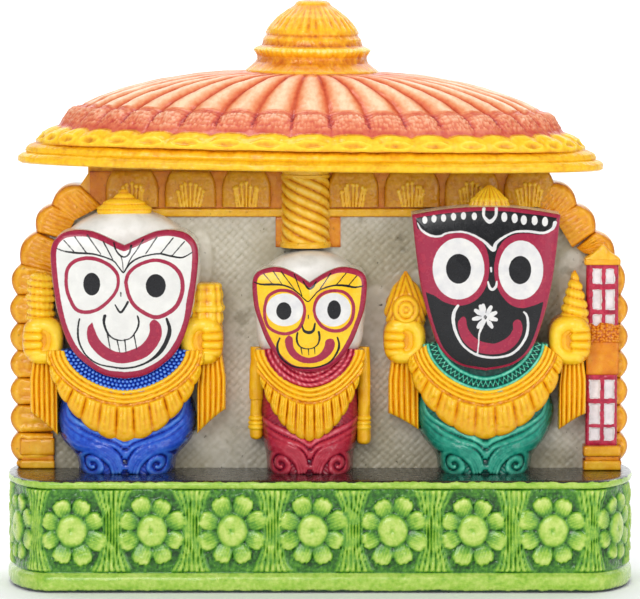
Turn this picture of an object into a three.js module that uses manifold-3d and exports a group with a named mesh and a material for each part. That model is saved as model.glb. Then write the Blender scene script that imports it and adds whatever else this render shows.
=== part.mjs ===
// Painted triad shrine souvenir, cast in resin and marble dust: three figures before a petal arch,
// under a ribbed umbrella canopy, on a plinth with a lotus frieze.
// Millimetres, Z up, the front faces -Y, origin at the middle of the plinth's underside.
import * as THREE from 'three';
import { mergeVertices } from 'three/addons/utils/BufferGeometryUtils.js';
import Module from 'manifold-3d';

const wasm = await Module();
wasm.setup();

// Plinth
const PLINTH_HALF_WIDTH = 76;
const PLINTH_HALF_DEPTH = 25;
const PLINTH_TOP = 27;
const END_REACH = 12;
const END_STEPS = 10;
const FRIEZE_INSET = 1.2;
const FLOWER_PITCH = 19.2;
const FLOWER_SHIFT = -1.8;
const FLOWER_HEIGHT = 15;
const FLOWER_RADIUS = 6.1;
const FLOWERS_EACH_SIDE = 4;
const BOSS = { halfWidth: 3.8, halfHeight: 4.1 };
const PLINTH_ROWS = [
  { inset: 0.9, z: 0 },
  { inset: 0, z: 1.4 },
  { inset: 0.1, z: 4 },
  { inset: FRIEZE_INSET, z: 4.6 },
  { inset: FRIEZE_INSET, z: 25.1 },
  { inset: 0, z: 25.5 },
  { inset: 0.4, z: PLINTH_TOP },
];

// Back wall
const WALL_FRONT = 3;
const WALL_BACK = 15;
const WALL_TOP = 102;
const BORDER_FRONT = 0;
const GAP = 0.3;
const SCALLOP_TIP = 2;
const LOBE_STEPS = 3;
const LEFT_VALLEYS = [[-56.5, 99], [-58.4, 96.2], [-65.3, 91.5], [-68.9, 84.8], [-72.8, 77]];
const RIGHT_VALLEYS = [[54.8, 99], [56.4, 96.8], [62.5, 91.5], [67, 84.9], [71.7, 78.2]];
const SIDE_VALLEY_X = { left: -73.7, right: 73.2 };
const SIDE_VALLEYS_Z = [69.5, 62.5, 55.8, 49.2, 42.6, 35.8, 29];
const TOP_PETALS = [[-45.7, 6.5], [-31.5, 6.3], [-17.9, 6], [8, 6.3], [22.4, 6.8], [37, 6.7], [50.9, 6.2]];
const PETAL_BASE_Z = 91.5;
const PETAL_TOP_Z = 99.8;
const RAIL = { left: -52, right: 54, low: 88.6, high: 90.6, front: 1.6 };

// Twisted pole
const POLE = { x: -3.5, y: 2, radius: 5.9, low: 81.1, high: 98.6, lead: 11.2, starts: 4, sides: 16, rows: 11 };
const POLE_CAP_TOP = 100.6;
const POLE_FOOT_HEIGHT = 1.3;

// Pillars
const PILLAR = { left: 64.7, right: 72.5, front: -1.5, eaves: 77.5, apex: 82 };
const PILLAR_FOOT = { left: 64.1, right: 73.2, front: -3.6 };
const PANE_DEPTH = 0.6;
const CORNICE_Z = [77.3, 78.6];
const BAND_Z = [58.4, 61.8];
const UPPER_PANES = {
  columns: [[66.4, 68.4], [69.4, 71.4]],
  rows: [[62.2, 64.8], [66.3, 70.9], [72.6, 76]],
};
const LOWER_PANES = {
  columns: [[65.7, 68.2], [69.1, 71.6]],
  rows: [[34.3, 37.2], [38.3, 43.1], [44.4, 48.8]],
};
const LEFT_PILLAR = { left: -73.2, right: -64.8, front: 0.3 };

// Canopy
const CANOPY_X = -2.3;
const RIM_LOW = 101;
const TILT = 0.014;
const RIBS = 40;
const COLLAR_HALF_WIDTH = 17;
const DOME_HALF_DEPTH = 26;
const DOME_HEIGHT = 22.8;
const DOME_ROWS = [
  { z: 0, reach: 71 },
  { z: 2.3, reach: 70.6 },
  { z: 2.7, reach: 69 },
  { z: 4.9, reach: 67.4 },
  { z: 8.9, reach: 62.2, lift: 0.9 },
  { z: 9.1, reach: 60.6, lift: 0.9 },
  { z: 13.6, reach: 54.6 },
  { z: 17.4, reach: 46.2, ripple: 0.7 },
  { z: 20.3, reach: 35, ripple: 0.7 },
  { z: DOME_HEIGHT, reach: COLLAR_HALF_WIDTH },
];
const FINIAL_SIDES = 24;
const FINIAL_ROWS = [
  { z: 21.5, r: 16.6 },
  { z: 23.8, r: 16.6 },
  { z: 25.9, r: 13.2 },
  { z: 26.7, r: 13.8 },
  { z: 29.2, r: 13.6 },
  { z: 30.2, r: 11.8 },
  { z: 33, r: 10.6, ripple: 0.4 },
  { z: 36, r: 8.3, ripple: 0.4 },
  { z: 38.9, r: 4.5, ripple: 0.3 },
  { z: 39.2, r: 4.2 },
  { z: 40.2, r: 3 },
];

// Figures
const MASK_FRONT = -12.6;
const COLLAR_FRONT = -10.6;
const NECKLACE_FRONT = -11.6;
const SKIRT_FRONT = -10.6;
const ARM_FRONT = -8;
const SLEEVE_FRONT = -5;
const CREST_MIDDLE = -3.6;
const MASK_STEPS = 8;
const LEAF_DEPTH = 0.9;
const CRESCENT_STEPS = 14;

const FIGURES = {
  balabhadra_figure: {
    x: -47.1,
    colour: 0x1e3fa8,
    maskCentre: 70,
    maskTop: [[0, 82.6], [4.5, 84.7], [10.6, 86.2], [17.7, 81.5]],
    maskSide: [[17.7, 81.5], [17.3, 74], [15.8, 65], [13.2, 58], [9.6, 54], [4.9, 51.1], [0, 50.2]],
    head: { halfWidth: 18.1, middle: 76, top: 90.8 },
    collar: { halfWidth: 15.6, top: 56.8, bottom: 46.2 },
    necklace: { halfWidth: 19, top: 56.8, bottom: 35 },
    skirt: [[15.2, 47], [17, 40], [16, 35], [12.4, 30.5], [11.6, 25], [11.6, 20]],
    hands: [
      { x: -20.1, z: 59, halfWidth: 4.7, halfHeight: 5.6, outer: -1 },
      { x: 18.5, z: 59, halfWidth: 5, halfHeight: 5.8, outer: 1 },
    ],
    sleeves: [
      { outer: -23.3, inner: -16.6, top: 56, outerLow: 41.3, innerLow: 35.7 },
      { outer: 24.2, inner: 17.2, top: 56, outerLow: 42, innerLow: 36 },
    ],
    held: [
      { x: -20.7, rows: [[62, 3], [65, 3.3], [67, 2.9], [69, 3.4], [71, 3], [73.4, 3], [75.3, 1.4]] },
      { x: 19.6, rows: [[62, 3.6], [66, 3.8], [70, 3.6], [72.8, 3.2]] },
    ],
    crest: { x: -0.3, rows: [[88, 5.5], [91, 6.7], [91.6, 5.6], [93, 3.8], [93.6, 2.4], [95.6, 0.4]] },
  },
  subhadra_figure: {
    x: -2.5,
    colour: 0xb22a3a,
    maskCentre: 65,
    maskTop: [[0, 73.6], [3.8, 75.9], [8.4, 77.2], [13.8, 73.4]],
    maskSide: [[13.8, 73.4], [13.4, 68], [12.2, 64], [10.2, 59], [7.4, 55], [3.8, 52.4], [0, 51.8]],
    head: { halfWidth: 13.7, middle: 69, top: 80.8 },
    collar: { halfWidth: 11.8, top: 57.1, bottom: 46.7 },
    necklace: { halfWidth: 13, top: 57.1, bottom: 35.2 },
    skirt: [[11.8, 47], [12.3, 40], [11.6, 35], [10.6, 31], [10.4, 25], [10.4, 20]],
    hands: [],
    sleeves: [],
    held: [
      { x: -13, rows: [[34.6, 1.2], [36, 1.9], [44, 1.7], [45, 2], [53, 1.8], [57.2, 1.6]] },
      { x: 13.2, rows: [[33.4, 1.3], [35.4, 2.3], [38, 1.8], [46, 1.8], [53, 1.8], [57.2, 1.6]] },
    ],
  },
  jagannath_figure: {
    x: 40,
    colour: 0x2e8e74,
    maskCentre: 72,
    maskTop: [[0, 91.8], [6, 91.6], [12, 90.9], [17.9, 89.9]],
    maskSide: [[17.9, 89.9], [16.8, 80], [15.6, 72], [13.6, 64], [11, 57.5], [6.4, 53.6], [0, 52.2]],
    head: null,
    collar: { halfWidth: 15.2, top: 58.3, bottom: 46.2 },
    necklace: { halfWidth: 18.6, top: 55, bottom: 35.8 },
    skirt: [[15.4, 47], [17, 42], [15.6, 36], [12, 31], [11, 25], [11, 20]],
    hands: [
      { x: -19.5, z: 59, halfWidth: 4.9, halfHeight: 5.6, outer: -1 },
      { x: 20.6, z: 59, halfWidth: 4.9, halfHeight: 5.8, outer: 1 },
    ],
    sleeves: [
      { outer: -23.4, inner: -16, top: 56, outerLow: 41, innerLow: 37 },
      { outer: 24.6, inner: 18, top: 56, outerLow: 41, innerLow: 37 },
    ],
    held: [
      { x: -19.2, rows: [[62, 4], [65, 5], [69, 4.7], [72, 2.9], [75.6, 0.5]] },
      { x: 21.8, rows: [[62, 3.1], [66, 3.1], [69, 2.4], [72, 1.6], [75.8, 0.4]] },
    ],
    crest: { x: 1, rows: [[90, 5.6], [93, 4.2], [95.2, 2.2], [96.6, 0.6]] },
  },
};

// Turns points and triangles into a solid, with its faces pointing outwards.
function solid(points, faces) {
  let volume = 0;
  for (const [a, b, c] of faces) {
    const across = new THREE.Vector3(...points[b]).cross(new THREE.Vector3(...points[c]));
    volume += new THREE.Vector3(...points[a]).dot(across);
  }
  const outward = volume < 0 ? faces.map(([a, b, c]) => [a, c, b]) : faces;
  return new wasm.Manifold(new wasm.Mesh({
    numProp: 3,
    vertProperties: new Float32Array(points.flat()),
    triVerts: new Uint32Array(outward.flat()),
  }));
}

function solidFromGeometry(geometry) {
  geometry.deleteAttribute('normal');
  geometry.deleteAttribute('uv');
  const merged = mergeVertices(geometry, 1e-4);
  return new wasm.Manifold(new wasm.Mesh({
    numProp: 3,
    vertProperties: new Float32Array(merged.attributes.position.array),
    triVerts: new Uint32Array(merged.index.array),
  }));
}

function geometryOf(manifold) {
  const { vertProperties, triVerts, numProp } = manifold.getMesh();
  const geometry = new THREE.BufferGeometry();
  const positions = new THREE.InterleavedBuffer(new Float32Array(vertProperties), numProp);
  geometry.setAttribute('position', new THREE.InterleavedBufferAttribute(positions, 3, 0));
  geometry.setIndex(new THREE.BufferAttribute(new Uint32Array(triVerts), 1));
  return geometry.toNonIndexed();
}

function join(solids) {
  return solids.reduce((whole, next) => whole.add(next));
}

// Joins equal rings of points into a closed solid. Each end closes to a point, by default its middle.
function loft(rings, firstTip, lastTip) {
  const count = rings[0].length;
  const points = rings.flat();
  const faces = [];
  for (let r = 0; r + 1 < rings.length; r += 1) {
    for (let i = 0; i < count; i += 1) {
      const a = r * count + i;
      const b = r * count + ((i + 1) % count);
      faces.push([a, b, a + count], [b, b + count, a + count]);
    }
  }
  const caps = [
    { ring: rings[0], start: 0, tip: firstTip, reversed: true },
    { ring: rings.at(-1), start: (rings.length - 1) * count, tip: lastTip, reversed: false },
  ];
  for (const cap of caps) {
    const tip = points.push(cap.tip ?? middle(cap.ring)) - 1;
    for (let i = 0; i < count; i += 1) {
      const a = cap.start + i;
      const b = cap.start + ((i + 1) % count);
      faces.push(cap.reversed ? [b, a, tip] : [a, b, tip]);
    }
  }
  return solid(points, faces);
}

function middle(ring) {
  return [0, 1, 2].map((k) => ring.reduce((sum, point) => sum + point[k], 0) / ring.length);
}

function box(x, y, z) {
  const geometry = new THREE.BoxGeometry(x[1] - x[0], y[1] - y[0], z[1] - z[0]);
  geometry.translate((x[0] + x[1]) / 2, (y[0] + y[1]) / 2, (z[0] + z[1]) / 2);
  return solidFromGeometry(geometry);
}

// An outline of [x, z] points given thickness from back to front.
function plate(outline, back, front) {
  const shape = new THREE.Shape(outline.map(([x, z]) => new THREE.Vector2(x, z)));
  const geometry = new THREE.ExtrudeGeometry(shape, { depth: back - front, bevelEnabled: false });
  geometry.rotateX(Math.PI / 2);
  geometry.translate(0, back, 0);
  return solidFromGeometry(geometry);
}

// A crowned form: the outline shrinks towards its middle as it comes forward.
function cushion(outline, centre, steps, tipFront) {
  const rings = steps.map(({ y, size }) => outline.map(([x, z]) => [
    centre[0] + (x - centre[0]) * size, y, centre[1] + (z - centre[1]) * size,
  ]));
  return loft(rings, [centre[0], steps[0].y, centre[1]], [centre[0], tipFront, centre[1]]);
}

function smooth(points, steps) {
  const curve = new THREE.SplineCurve(points.map(([x, z]) => new THREE.Vector2(x, z)));
  return curve.getPoints(steps).map(({ x, y }) => [x, y]);
}

// Points on an arc from a to b that stands out by bulge to the left of the way, without a itself.
function arc(a, b, bulge, steps) {
  const [dx, dz] = [b[0] - a[0], b[1] - a[1]];
  const length = Math.hypot(dx, dz);
  return Array.from({ length: steps }, (_, i) => {
    const t = (i + 1) / steps;
    const out = (bulge * 4 * t * (1 - t)) / length;
    return [a[0] + dx * t - dz * out, a[1] + dz * t + dx * out];
  });
}

// Plinth

// The plan's point and outward normal at a distance along it from the front's middle.
const endArc = (() => {
  const fine = 240;
  const rows = [{ length: 0, angle: -Math.PI / 2 }];
  for (let i = 1; i <= fine; i += 1) {
    const angle = -Math.PI / 2 + (Math.PI * i) / fine;
    const step = Math.PI / fine;
    const middleAngle = angle - step / 2;
    const speed = Math.hypot(END_REACH * Math.sin(middleAngle), PLINTH_HALF_DEPTH * Math.cos(middleAngle));
    rows.push({ length: rows[i - 1].length + speed * step, angle });
  }
  return rows;
})();

function planPoint(distance) {
  const side = Math.sign(distance) || 1;
  const straight = PLINTH_HALF_WIDTH - END_REACH;
  const past = Math.abs(distance) - straight;
  if (past <= 0) return { x: distance, y: -PLINTH_HALF_DEPTH, nx: 0, ny: -1 };
  const { angle } = endArc.find(({ length }) => length >= past) ?? endArc.at(-1);
  return endPoint(side, angle);
}

function endPoint(side, angle) {
  const straight = PLINTH_HALF_WIDTH - END_REACH;
  const nx = Math.cos(angle) / END_REACH;
  const ny = Math.sin(angle) / PLINTH_HALF_DEPTH;
  const size = Math.hypot(nx, ny);
  return {
    x: side * (straight + END_REACH * Math.cos(angle)),
    y: PLINTH_HALF_DEPTH * Math.sin(angle),
    nx: (side * nx) / size,
    ny: ny / size,
  };
}

function plinthRing({ inset, z }) {
  const angles = Array.from({ length: END_STEPS + 1 }, (_, i) => -Math.PI / 2 + (Math.PI * i) / END_STEPS);
  const right = angles.map((angle) => endPoint(1, angle));
  const left = angles.toReversed().map((angle) => endPoint(-1, angle));
  return [...right, ...left].map(({ x, y, nx, ny }) => [x - nx * inset, y - ny * inset, z]);
}

// A point of the frieze, standing out from its ground.
function onFrieze(distance, z, out) {
  const { x, y, nx, ny } = planPoint(distance);
  const lift = out - FRIEZE_INSET;
  return [x + nx * lift, y + ny * lift, z];
}

function friezePetal(distance, angle) {
  const outline = [[-2.8, 0], [-0.2, 2.1], [2.3, 1.5], [2.3, -1.5], [-0.2, -2.1]];
  const place = ([along, across], out) => {
    const reach = FLOWER_RADIUS + along;
    const u = reach * Math.cos(angle) - across * Math.sin(angle);
    const v = reach * Math.sin(angle) + across * Math.cos(angle);
    return onFrieze(distance + u, FLOWER_HEIGHT + v, out);
  };
  return loft([outline.map((point) => place(point, -0.2))], place([0, 0], -0.2), place([0.4, 0], 1.1));
}

function friezeBoss(distance) {
  const ring = (size, out) => Array.from({ length: 8 }, (_, i) => {
    const angle = (Math.PI * (i + 0.5)) / 4;
    const [along, up] = [BOSS.halfWidth * size * Math.cos(angle), BOSS.halfHeight * size * Math.sin(angle)];
    return onFrieze(distance + along, FLOWER_HEIGHT + up, out);
  });
  return loft([ring(1, -0.5), ring(0.9, 0.8)], undefined, onFrieze(distance, FLOWER_HEIGHT, 1.3));
}

// The sheaf between two flowers: three reeds, tied in the middle and spread at both ends.
function friezeSheaf(distance) {
  const rings = [-9, -3.4, 3.4, 9].map((height) => {
    const spread = 1.1 + 1.9 * (height / 9) ** 2;
    const ridges = [-spread - 0.8, -spread, -spread / 2, 0, spread / 2, spread, spread + 0.8];
    const ring = ridges.map((across, i) => {
      const out = i % 2 ? 0.9 : 0.15;
      return onFrieze(distance + across, FLOWER_HEIGHT + height, out);
    });
    return [onFrieze(distance, FLOWER_HEIGHT + height, -0.5), ...ring];
  });
  return loft(rings);
}

function plinth() {
  const parts = [loft(PLINTH_ROWS.map(plinthRing))];
  for (let k = -FLOWERS_EACH_SIDE; k <= FLOWERS_EACH_SIDE; k += 1) {
    const distance = FLOWER_SHIFT + k * FLOWER_PITCH;
    parts.push(friezeBoss(distance));
    for (let p = 0; p < 8; p += 1) parts.push(friezePetal(distance, (Math.PI * (p + 0.5)) / 4));
  }
  for (let k = -FLOWERS_EACH_SIDE - 0.5; k <= FLOWERS_EACH_SIDE + 0.5; k += 1) {
    parts.push(friezeSheaf(FLOWER_SHIFT + k * FLOWER_PITCH));
  }
  return join(parts);
}

// Back wall

function sideValleys(side) {
  return SIDE_VALLEYS_Z.map((z) => [SIDE_VALLEY_X[side], z]);
}

// The lobes of one side of the arch, from the canopy down to the plinth.
function archEdges(side) {
  const shoulder = side === 'left' ? LEFT_VALLEYS : RIGHT_VALLEYS;
  return [...shoulder, ...sideValleys(side), [SIDE_VALLEY_X[side], PLINTH_TOP]];
}

function sideOutline(side) {
  const edges = archEdges(side);
  const turn = side === 'left' ? -1 : 1;
  const outline = [[edges[0][0], WALL_TOP], edges[0]];
  for (let i = 0; i + 1 < edges.length; i += 1) {
    outline.push(...arc(edges[i], edges[i + 1], turn * lobeBulge(i), LOBE_STEPS));
  }
  return outline;
}

function archOutline() {
  return [...sideOutline('right'), ...sideOutline('left').reverse()];
}

// How far a lobe stands out: nothing beside the canopy, little on the short last one by the plinth.
function lobeBulge(index) {
  const last = LEFT_VALLEYS.length + SIDE_VALLEYS_Z.length - 1;
  if (index === 0) return 0;
  return index === last ? 0.6 : SCALLOP_TIP;
}

// A petal as a fan of veins from its base to a rounded edge.
function petal(base, edge) {
  const back = WALL_FRONT + GAP;
  const ring = [...base, ...edge];
  const crest = (i) => (i % 2 === 0 ? BORDER_FRONT + GAP : BORDER_FRONT + GAP + 0.8);
  const front = ring.map(([x, z], i) => [x, crest(i), z]);
  const rear = ring.map(([x, z]) => [x, back, z]);
  const root = [(base[0][0] + base.at(-1)[0]) / 2, WALL_FRONT - 1.2, (base[0][1] + base.at(-1)[1]) / 2];
  const far = edge[edge.length >> 1];
  const tip = [root[0] * 0.6 + far[0] * 0.4, root[1], root[2] * 0.6 + far[1] * 0.4];
  return loft([rear, front], undefined, tip);
}

function topPetal(x, half) {
  const base = [[x + half - 0.4, PETAL_BASE_Z], [x - half + 0.4, PETAL_BASE_Z]];
  const edge = [
    [x - half, 95], [x - half + 1, 98.4], [x - half + 3, PETAL_TOP_Z], [x, PETAL_TOP_Z],
    [x + half - 3, PETAL_TOP_Z], [x + half - 1, 98.4], [x + half, 95],
  ];
  return petal(base, edge);
}

// A petal of the arch's side: its edge is a lobe of the outline, its base lies on the arch's inner line.
function edgePetal(side, index, base) {
  const edges = archEdges(side);
  const inset = 0.35;
  const turn = side === 'left' ? -1 : 1;
  const along = (t) => {
    const [a, b] = [edges[index], edges[index + 1]];
    return [a[0] + (b[0] - a[0]) * t, a[1] + (b[1] - a[1]) * t];
  };
  const [from, to] = [along(0.06), along(0.94)];
  const edge = [from, ...arc(from, to, turn * (lobeBulge(index) - inset), 4)];
  return petal(base, edge);
}

function shoulderPetals() {
  return [
    edgePetal('left', 1, [[-60, 87.6], [-53, 91.2]]),
    edgePetal('left', 2, [[-62, 83], [-59, 89]]),
    edgePetal('left', 3, [[-64.6, 74.4], [-62.4, 82]]),
    edgePetal('right', 1, [[58, 87.6], [52.5, 91.2]]),
    edgePetal('right', 2, [[61.4, 81], [56.6, 89]]),
    edgePetal('right', 3, [[64.4, 79.6], [62.4, 81]]),
  ];
}

function sidePetals() {
  const petals = [];
  const first = LEFT_VALLEYS.length - 1;
  for (let i = 0; i < SIDE_VALLEYS_Z.length; i += 1) {
    const high = i === 0 ? 76 : SIDE_VALLEYS_Z[i - 1] - 0.3;
    const low = SIDE_VALLEYS_Z[i] + 0.3;
    petals.push(edgePetal('left', first + i, [[-65.2, low], [-65.2, high]]));
  }
  return petals;
}

function twistedPole() {
  const rings = [];
  for (let row = 0; row < POLE.rows; row += 1) {
    const z = POLE.low + ((POLE.high - POLE.low) * row) / (POLE.rows - 1);
    const turn = ((z - POLE.low) / POLE.lead) * Math.PI * 2;
    rings.push(Array.from({ length: POLE.sides }, (_, i) => {
      const angle = (Math.PI * 2 * i) / POLE.sides;
      const radius = POLE.radius * (0.95 + 0.06 * Math.cos(POLE.starts * (angle + turn)));
      return [POLE.x + radius * Math.cos(angle), POLE.y + radius * Math.sin(angle), z];
    }));
  }
  const foot = poleBand(POLE.low, POLE.low + POLE_FOOT_HEIGHT, 6.1);
  const cap = poleBand(POLE.high - 0.4, POLE_CAP_TOP, 5.7);
  return join([loft(rings), foot, cap]);
}

function poleBand(low, high, radius) {
  const ring = (z) => Array.from({ length: POLE.sides }, (_, i) => {
    const angle = (Math.PI * 2 * i) / POLE.sides;
    return [POLE.x + radius * Math.cos(angle), POLE.y + radius * Math.sin(angle), z];
  });
  return loft([ring(low), ring(high)]);
}

function panes({ columns, rows }) {
  const front = PILLAR.front;
  return columns.flatMap((x) => rows.map((z) => box(x, [front - 1, front + PANE_DEPTH], z)));
}

function windowPillar() {
  const middleX = (PILLAR.left + PILLAR.right) / 2;
  const shaft = plate([
    [PILLAR.left, PLINTH_TOP], [PILLAR.right, PLINTH_TOP], [PILLAR.right, PILLAR.eaves],
    [PILLAR.right, PILLAR.eaves + 1.2], [middleX, PILLAR.apex],
    [PILLAR.left, PILLAR.eaves + 1.2], [PILLAR.left, PILLAR.eaves],
  ], WALL_FRONT + GAP, PILLAR.front);
  const back = WALL_FRONT + GAP;
  const cornice = box([PILLAR.left - 0.2, PILLAR.right + 0.2], [PILLAR.front - 0.6, back], CORNICE_Z);
  const foot = [[PLINTH_TOP, 29.4], [30.4, 33]].map(([low, high]) => (
    box([PILLAR_FOOT.left, PILLAR_FOOT.right], [PILLAR_FOOT.front, back], [low, high])
  ));
  const band = box([PILLAR.left - 0.1, PILLAR.right + 0.1], [PILLAR.front - 0.4, back], BAND_Z);
  const whole = join([shaft, cornice, ...foot, band]);
  return [...panes(UPPER_PANES), ...panes(LOWER_PANES)].reduce((rest, pane) => rest.subtract(pane), whole);
}

function leftPillar() {
  const back = WALL_FRONT + GAP;
  const { left, right, front } = LEFT_PILLAR;
  return join([
    box([left, right], [front, back], [PLINTH_TOP, 29]),
    box([left, right], [front, back], [30.2, 34.4]),
    box([left + 0.4, right - 0.4], [front + 0.8, back], [28, 52]),
  ]);
}

function backWall() {
  const rail = box([RAIL.left, RAIL.right], [RAIL.front, WALL_FRONT + GAP], [RAIL.low, RAIL.high]);
  const pilaster = box([-10.8, 5], [2, WALL_FRONT + GAP], [POLE.low, RAIL.low]);
  return join([
    plate(archOutline(), WALL_BACK, WALL_FRONT),
    ...TOP_PETALS.map(([x, half]) => topPetal(x, half)),
    ...shoulderPetals(),
    ...sidePetals(),
    rail,
    pilaster,
    twistedPole(),
    windowPillar(),
    leftPillar(),
  ]);
}

// Canopy

// The rim of the whole canopy drops a little to the right.
function tilted([x, y, z]) {
  return [x + TILT * (z - RIM_LOW), y, z - TILT * (x - CANOPY_X)];
}

function domeDepth(z) {
  const waist = COLLAR_HALF_WIDTH - 0.5;
  return waist + (DOME_HALF_DEPTH - waist) * Math.sqrt(Math.max(0, 1 - (z / (DOME_HEIGHT + 0.6)) ** 2));
}

function domeRing({ z, reach, ripple = 0, lift = 0 }) {
  return Array.from({ length: RIBS * 2 }, (_, i) => {
    const angle = (Math.PI * i) / RIBS;
    const swell = i % 2 === 0 ? ripple : -ripple;
    const x = (reach + swell * 0.4) * Math.sin(angle);
    const y = -(Math.min(domeDepth(z), reach) + swell * 0.4) * Math.cos(angle);
    const height = z + swell * 0.5 + (i % 2 === 0 ? lift : -lift);
    return tilted([CANOPY_X + x, y, RIM_LOW + height]);
  });
}

function finialRing({ z, r, ripple = 0 }) {
  return Array.from({ length: FINIAL_SIDES }, (_, i) => {
    const angle = (Math.PI * 2 * i) / FINIAL_SIDES;
    const radius = r + (i % 2 === 0 ? ripple : -ripple);
    return tilted([CANOPY_X + radius * Math.sin(angle), -radius * Math.cos(angle), RIM_LOW + z]);
  });
}

function canopy() {
  const seat = box(
    [LEFT_VALLEYS[0][0] - GAP, RIGHT_VALLEYS[0][0] + GAP],
    [WALL_FRONT - GAP, WALL_BACK + GAP],
    [RIM_LOW - 5, WALL_TOP],
  );
  return join([loft(DOME_ROWS.map(domeRing)), loft(FINIAL_ROWS.map(finialRing))]).subtract(seat);
}

// Figures

function mirrored(x, half) {
  const right = half.map(([dx, z]) => [x + dx, z]);
  const left = half.filter(([dx]) => dx > 1e-6).map(([dx, z]) => [x - dx, z]).reverse();
  return [...right, ...left];
}

function mask(spec) {
  const top = smooth(spec.maskTop, 5);
  const side = smooth(spec.maskSide, MASK_STEPS).slice(1);
  const steps = [
    { y: WALL_FRONT, size: 1 }, { y: MASK_FRONT + 3, size: 1 },
    { y: MASK_FRONT + 1.2, size: 0.92 },
  ];
  return cushion(mirrored(spec.x, [...top, ...side]), [spec.x, spec.maskCentre], steps, MASK_FRONT);
}

function headDome({ x, head }) {
  const count = 12;
  const outline = Array.from({ length: count }, (_, i) => {
    const angle = (Math.PI * i) / (count - 1);
    return [x + head.halfWidth * Math.cos(angle), head.middle + (head.top - head.middle) * Math.sin(angle)];
  });
  outline.push([x - head.halfWidth * 0.7, head.middle - 12], [x + head.halfWidth * 0.7, head.middle - 12]);
  const steps = [
    { y: WALL_FRONT, size: 1 }, { y: MASK_FRONT + 7, size: 0.97 }, { y: MASK_FRONT + 3.6, size: 0.8 },
  ];
  return cushion(outline, [x, head.middle - 2], steps, MASK_FRONT + 3);
}

// A crescent hanging below the chin, with a straight or a leafy lower edge.
function crescent(x, inner, outer, front, leaf) {
  const rings = Array.from({ length: CRESCENT_STEPS + 1 }, (_, i) => {
    const angle = -Math.PI / 2 + (Math.PI * i) / CRESCENT_STEPS;
    const reach = leaf * (i % 2 === 0 ? -1 : 0.2);
    const at = ({ halfWidth, top, bottom }, more, y) => [
      x + (halfWidth + more) * Math.sin(angle), y, top - (top - bottom + more) * Math.cos(angle),
    ];
    return [
      at(inner, 0, WALL_FRONT), at(inner, 0.6, front + 0.4),
      at(outer, reach, front + 0.9), at(outer, reach, WALL_FRONT),
    ];
  });
  return loft(rings);
}

function collarAndNecklace({ x, collar, necklace }) {
  const throat = { halfWidth: collar.halfWidth - 4.5, top: collar.top, bottom: collar.bottom + 6 };
  const under = { halfWidth: collar.halfWidth - 1, top: collar.top, bottom: collar.bottom + 1.2 };
  return [
    crescent(x, throat, collar, COLLAR_FRONT, 0),
    crescent(x, under, necklace, NECKLACE_FRONT, LEAF_DEPTH),
  ];
}

function skirt({ x, skirt: half }) {
  const steps = [
    { y: WALL_FRONT, size: 1 }, { y: SKIRT_FRONT + 4, size: 1 }, { y: SKIRT_FRONT + 0.8, size: 0.8 },
  ];
  return cushion(mirrored(x, half), [x, 34], steps, SKIRT_FRONT);
}

// A raised fold of the skirt that sweeps from a lower corner up towards the middle.
function skirtFold(x, from, to, sag) {
  const steps = 4;
  const path = [from, ...arc(from, to, sag, steps)];
  const rings = path.map(([dx, z], i) => {
    const half = 1.3 - (0.9 * i) / steps;
    const front = SKIRT_FRONT - 0.9 + 3 * (dx / 15) ** 2;
    return [[x + dx, front + 2.4, z - half], [x + dx, front, z], [x + dx, front + 2.4, z + half]];
  });
  return loft(rings);
}

function skirtFolds({ x }) {
  return [-1, 1].flatMap((side) => [
    skirtFold(x, [side * 11.4, 31], [side * 1.5, 33.5], side * 2),
    skirtFold(x, [side * 13.5, 35.5], [side * 3, 31.5], side * -1.6),
  ]);
}

function hand(x, { x: dx, z, halfWidth, halfHeight, outer }) {
  const outline = Array.from({ length: 8 }, (_, i) => {
    const angle = (Math.PI * (i + 0.5)) / 4;
    return [x + dx + halfWidth * Math.cos(angle), z + halfHeight * Math.sin(angle)];
  });
  const steps = [
    { y: WALL_FRONT, size: 1 }, { y: ARM_FRONT + 3, size: 1 }, { y: ARM_FRONT + 1, size: 0.75 },
  ];
  const fist = cushion(outline, [x + dx, z], steps, ARM_FRONT + 0.4);
  const fingers = [2.9, 0.6, -1.7].map((rise) => {
    const reach = Math.sqrt(1 - (rise / halfHeight) ** 2) * halfWidth * 0.8;
    const ends = [x + dx, x + dx + outer * reach].sort((a, b) => a - b);
    return box(ends, [ARM_FRONT - 0.2, ARM_FRONT + 5], [z + rise - 0.85, z + rise + 0.85]);
  });
  return [fist, ...fingers];
}

// A sleeve of upright pleats, cut off aslant below.
function sleeve(x, { outer, inner, top, outerLow, innerLow }) {
  const pleats = 6;
  const rings = Array.from({ length: pleats + 1 }, (_, i) => {
    const t = i / pleats;
    const front = i % 2 === 0 ? SLEEVE_FRONT + 1 : SLEEVE_FRONT;
    const low = outerLow + (innerLow - outerLow) * t;
    const across = x + outer + (inner - outer) * t;
    return [[across, WALL_FRONT, low], [across, front, low], [across, front, top], [across, WALL_FRONT, top]];
  });
  return loft(rings);
}

// What a hand holds, or a straight arm: an upright form given by its half width at each height.
function upright(x, { x: dx, rows }) {
  const sides = 6;
  const rings = rows.map(([z, half]) => Array.from({ length: sides }, (_, i) => {
    const angle = (Math.PI * 2 * (i + 0.5)) / sides;
    return [x + dx + half * Math.cos(angle), SLEEVE_FRONT + 2.6 + half * 1.1 * Math.sin(angle), z];
  }));
  const web = box(
    [x + dx - rows[1][1] * 0.8, x + dx + rows[1][1] * 0.8],
    [SLEEVE_FRONT + 2.6, WALL_FRONT],
    [rows[0][0], rows.at(-2)[0]],
  );
  return [loft(rings), web];
}

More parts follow.
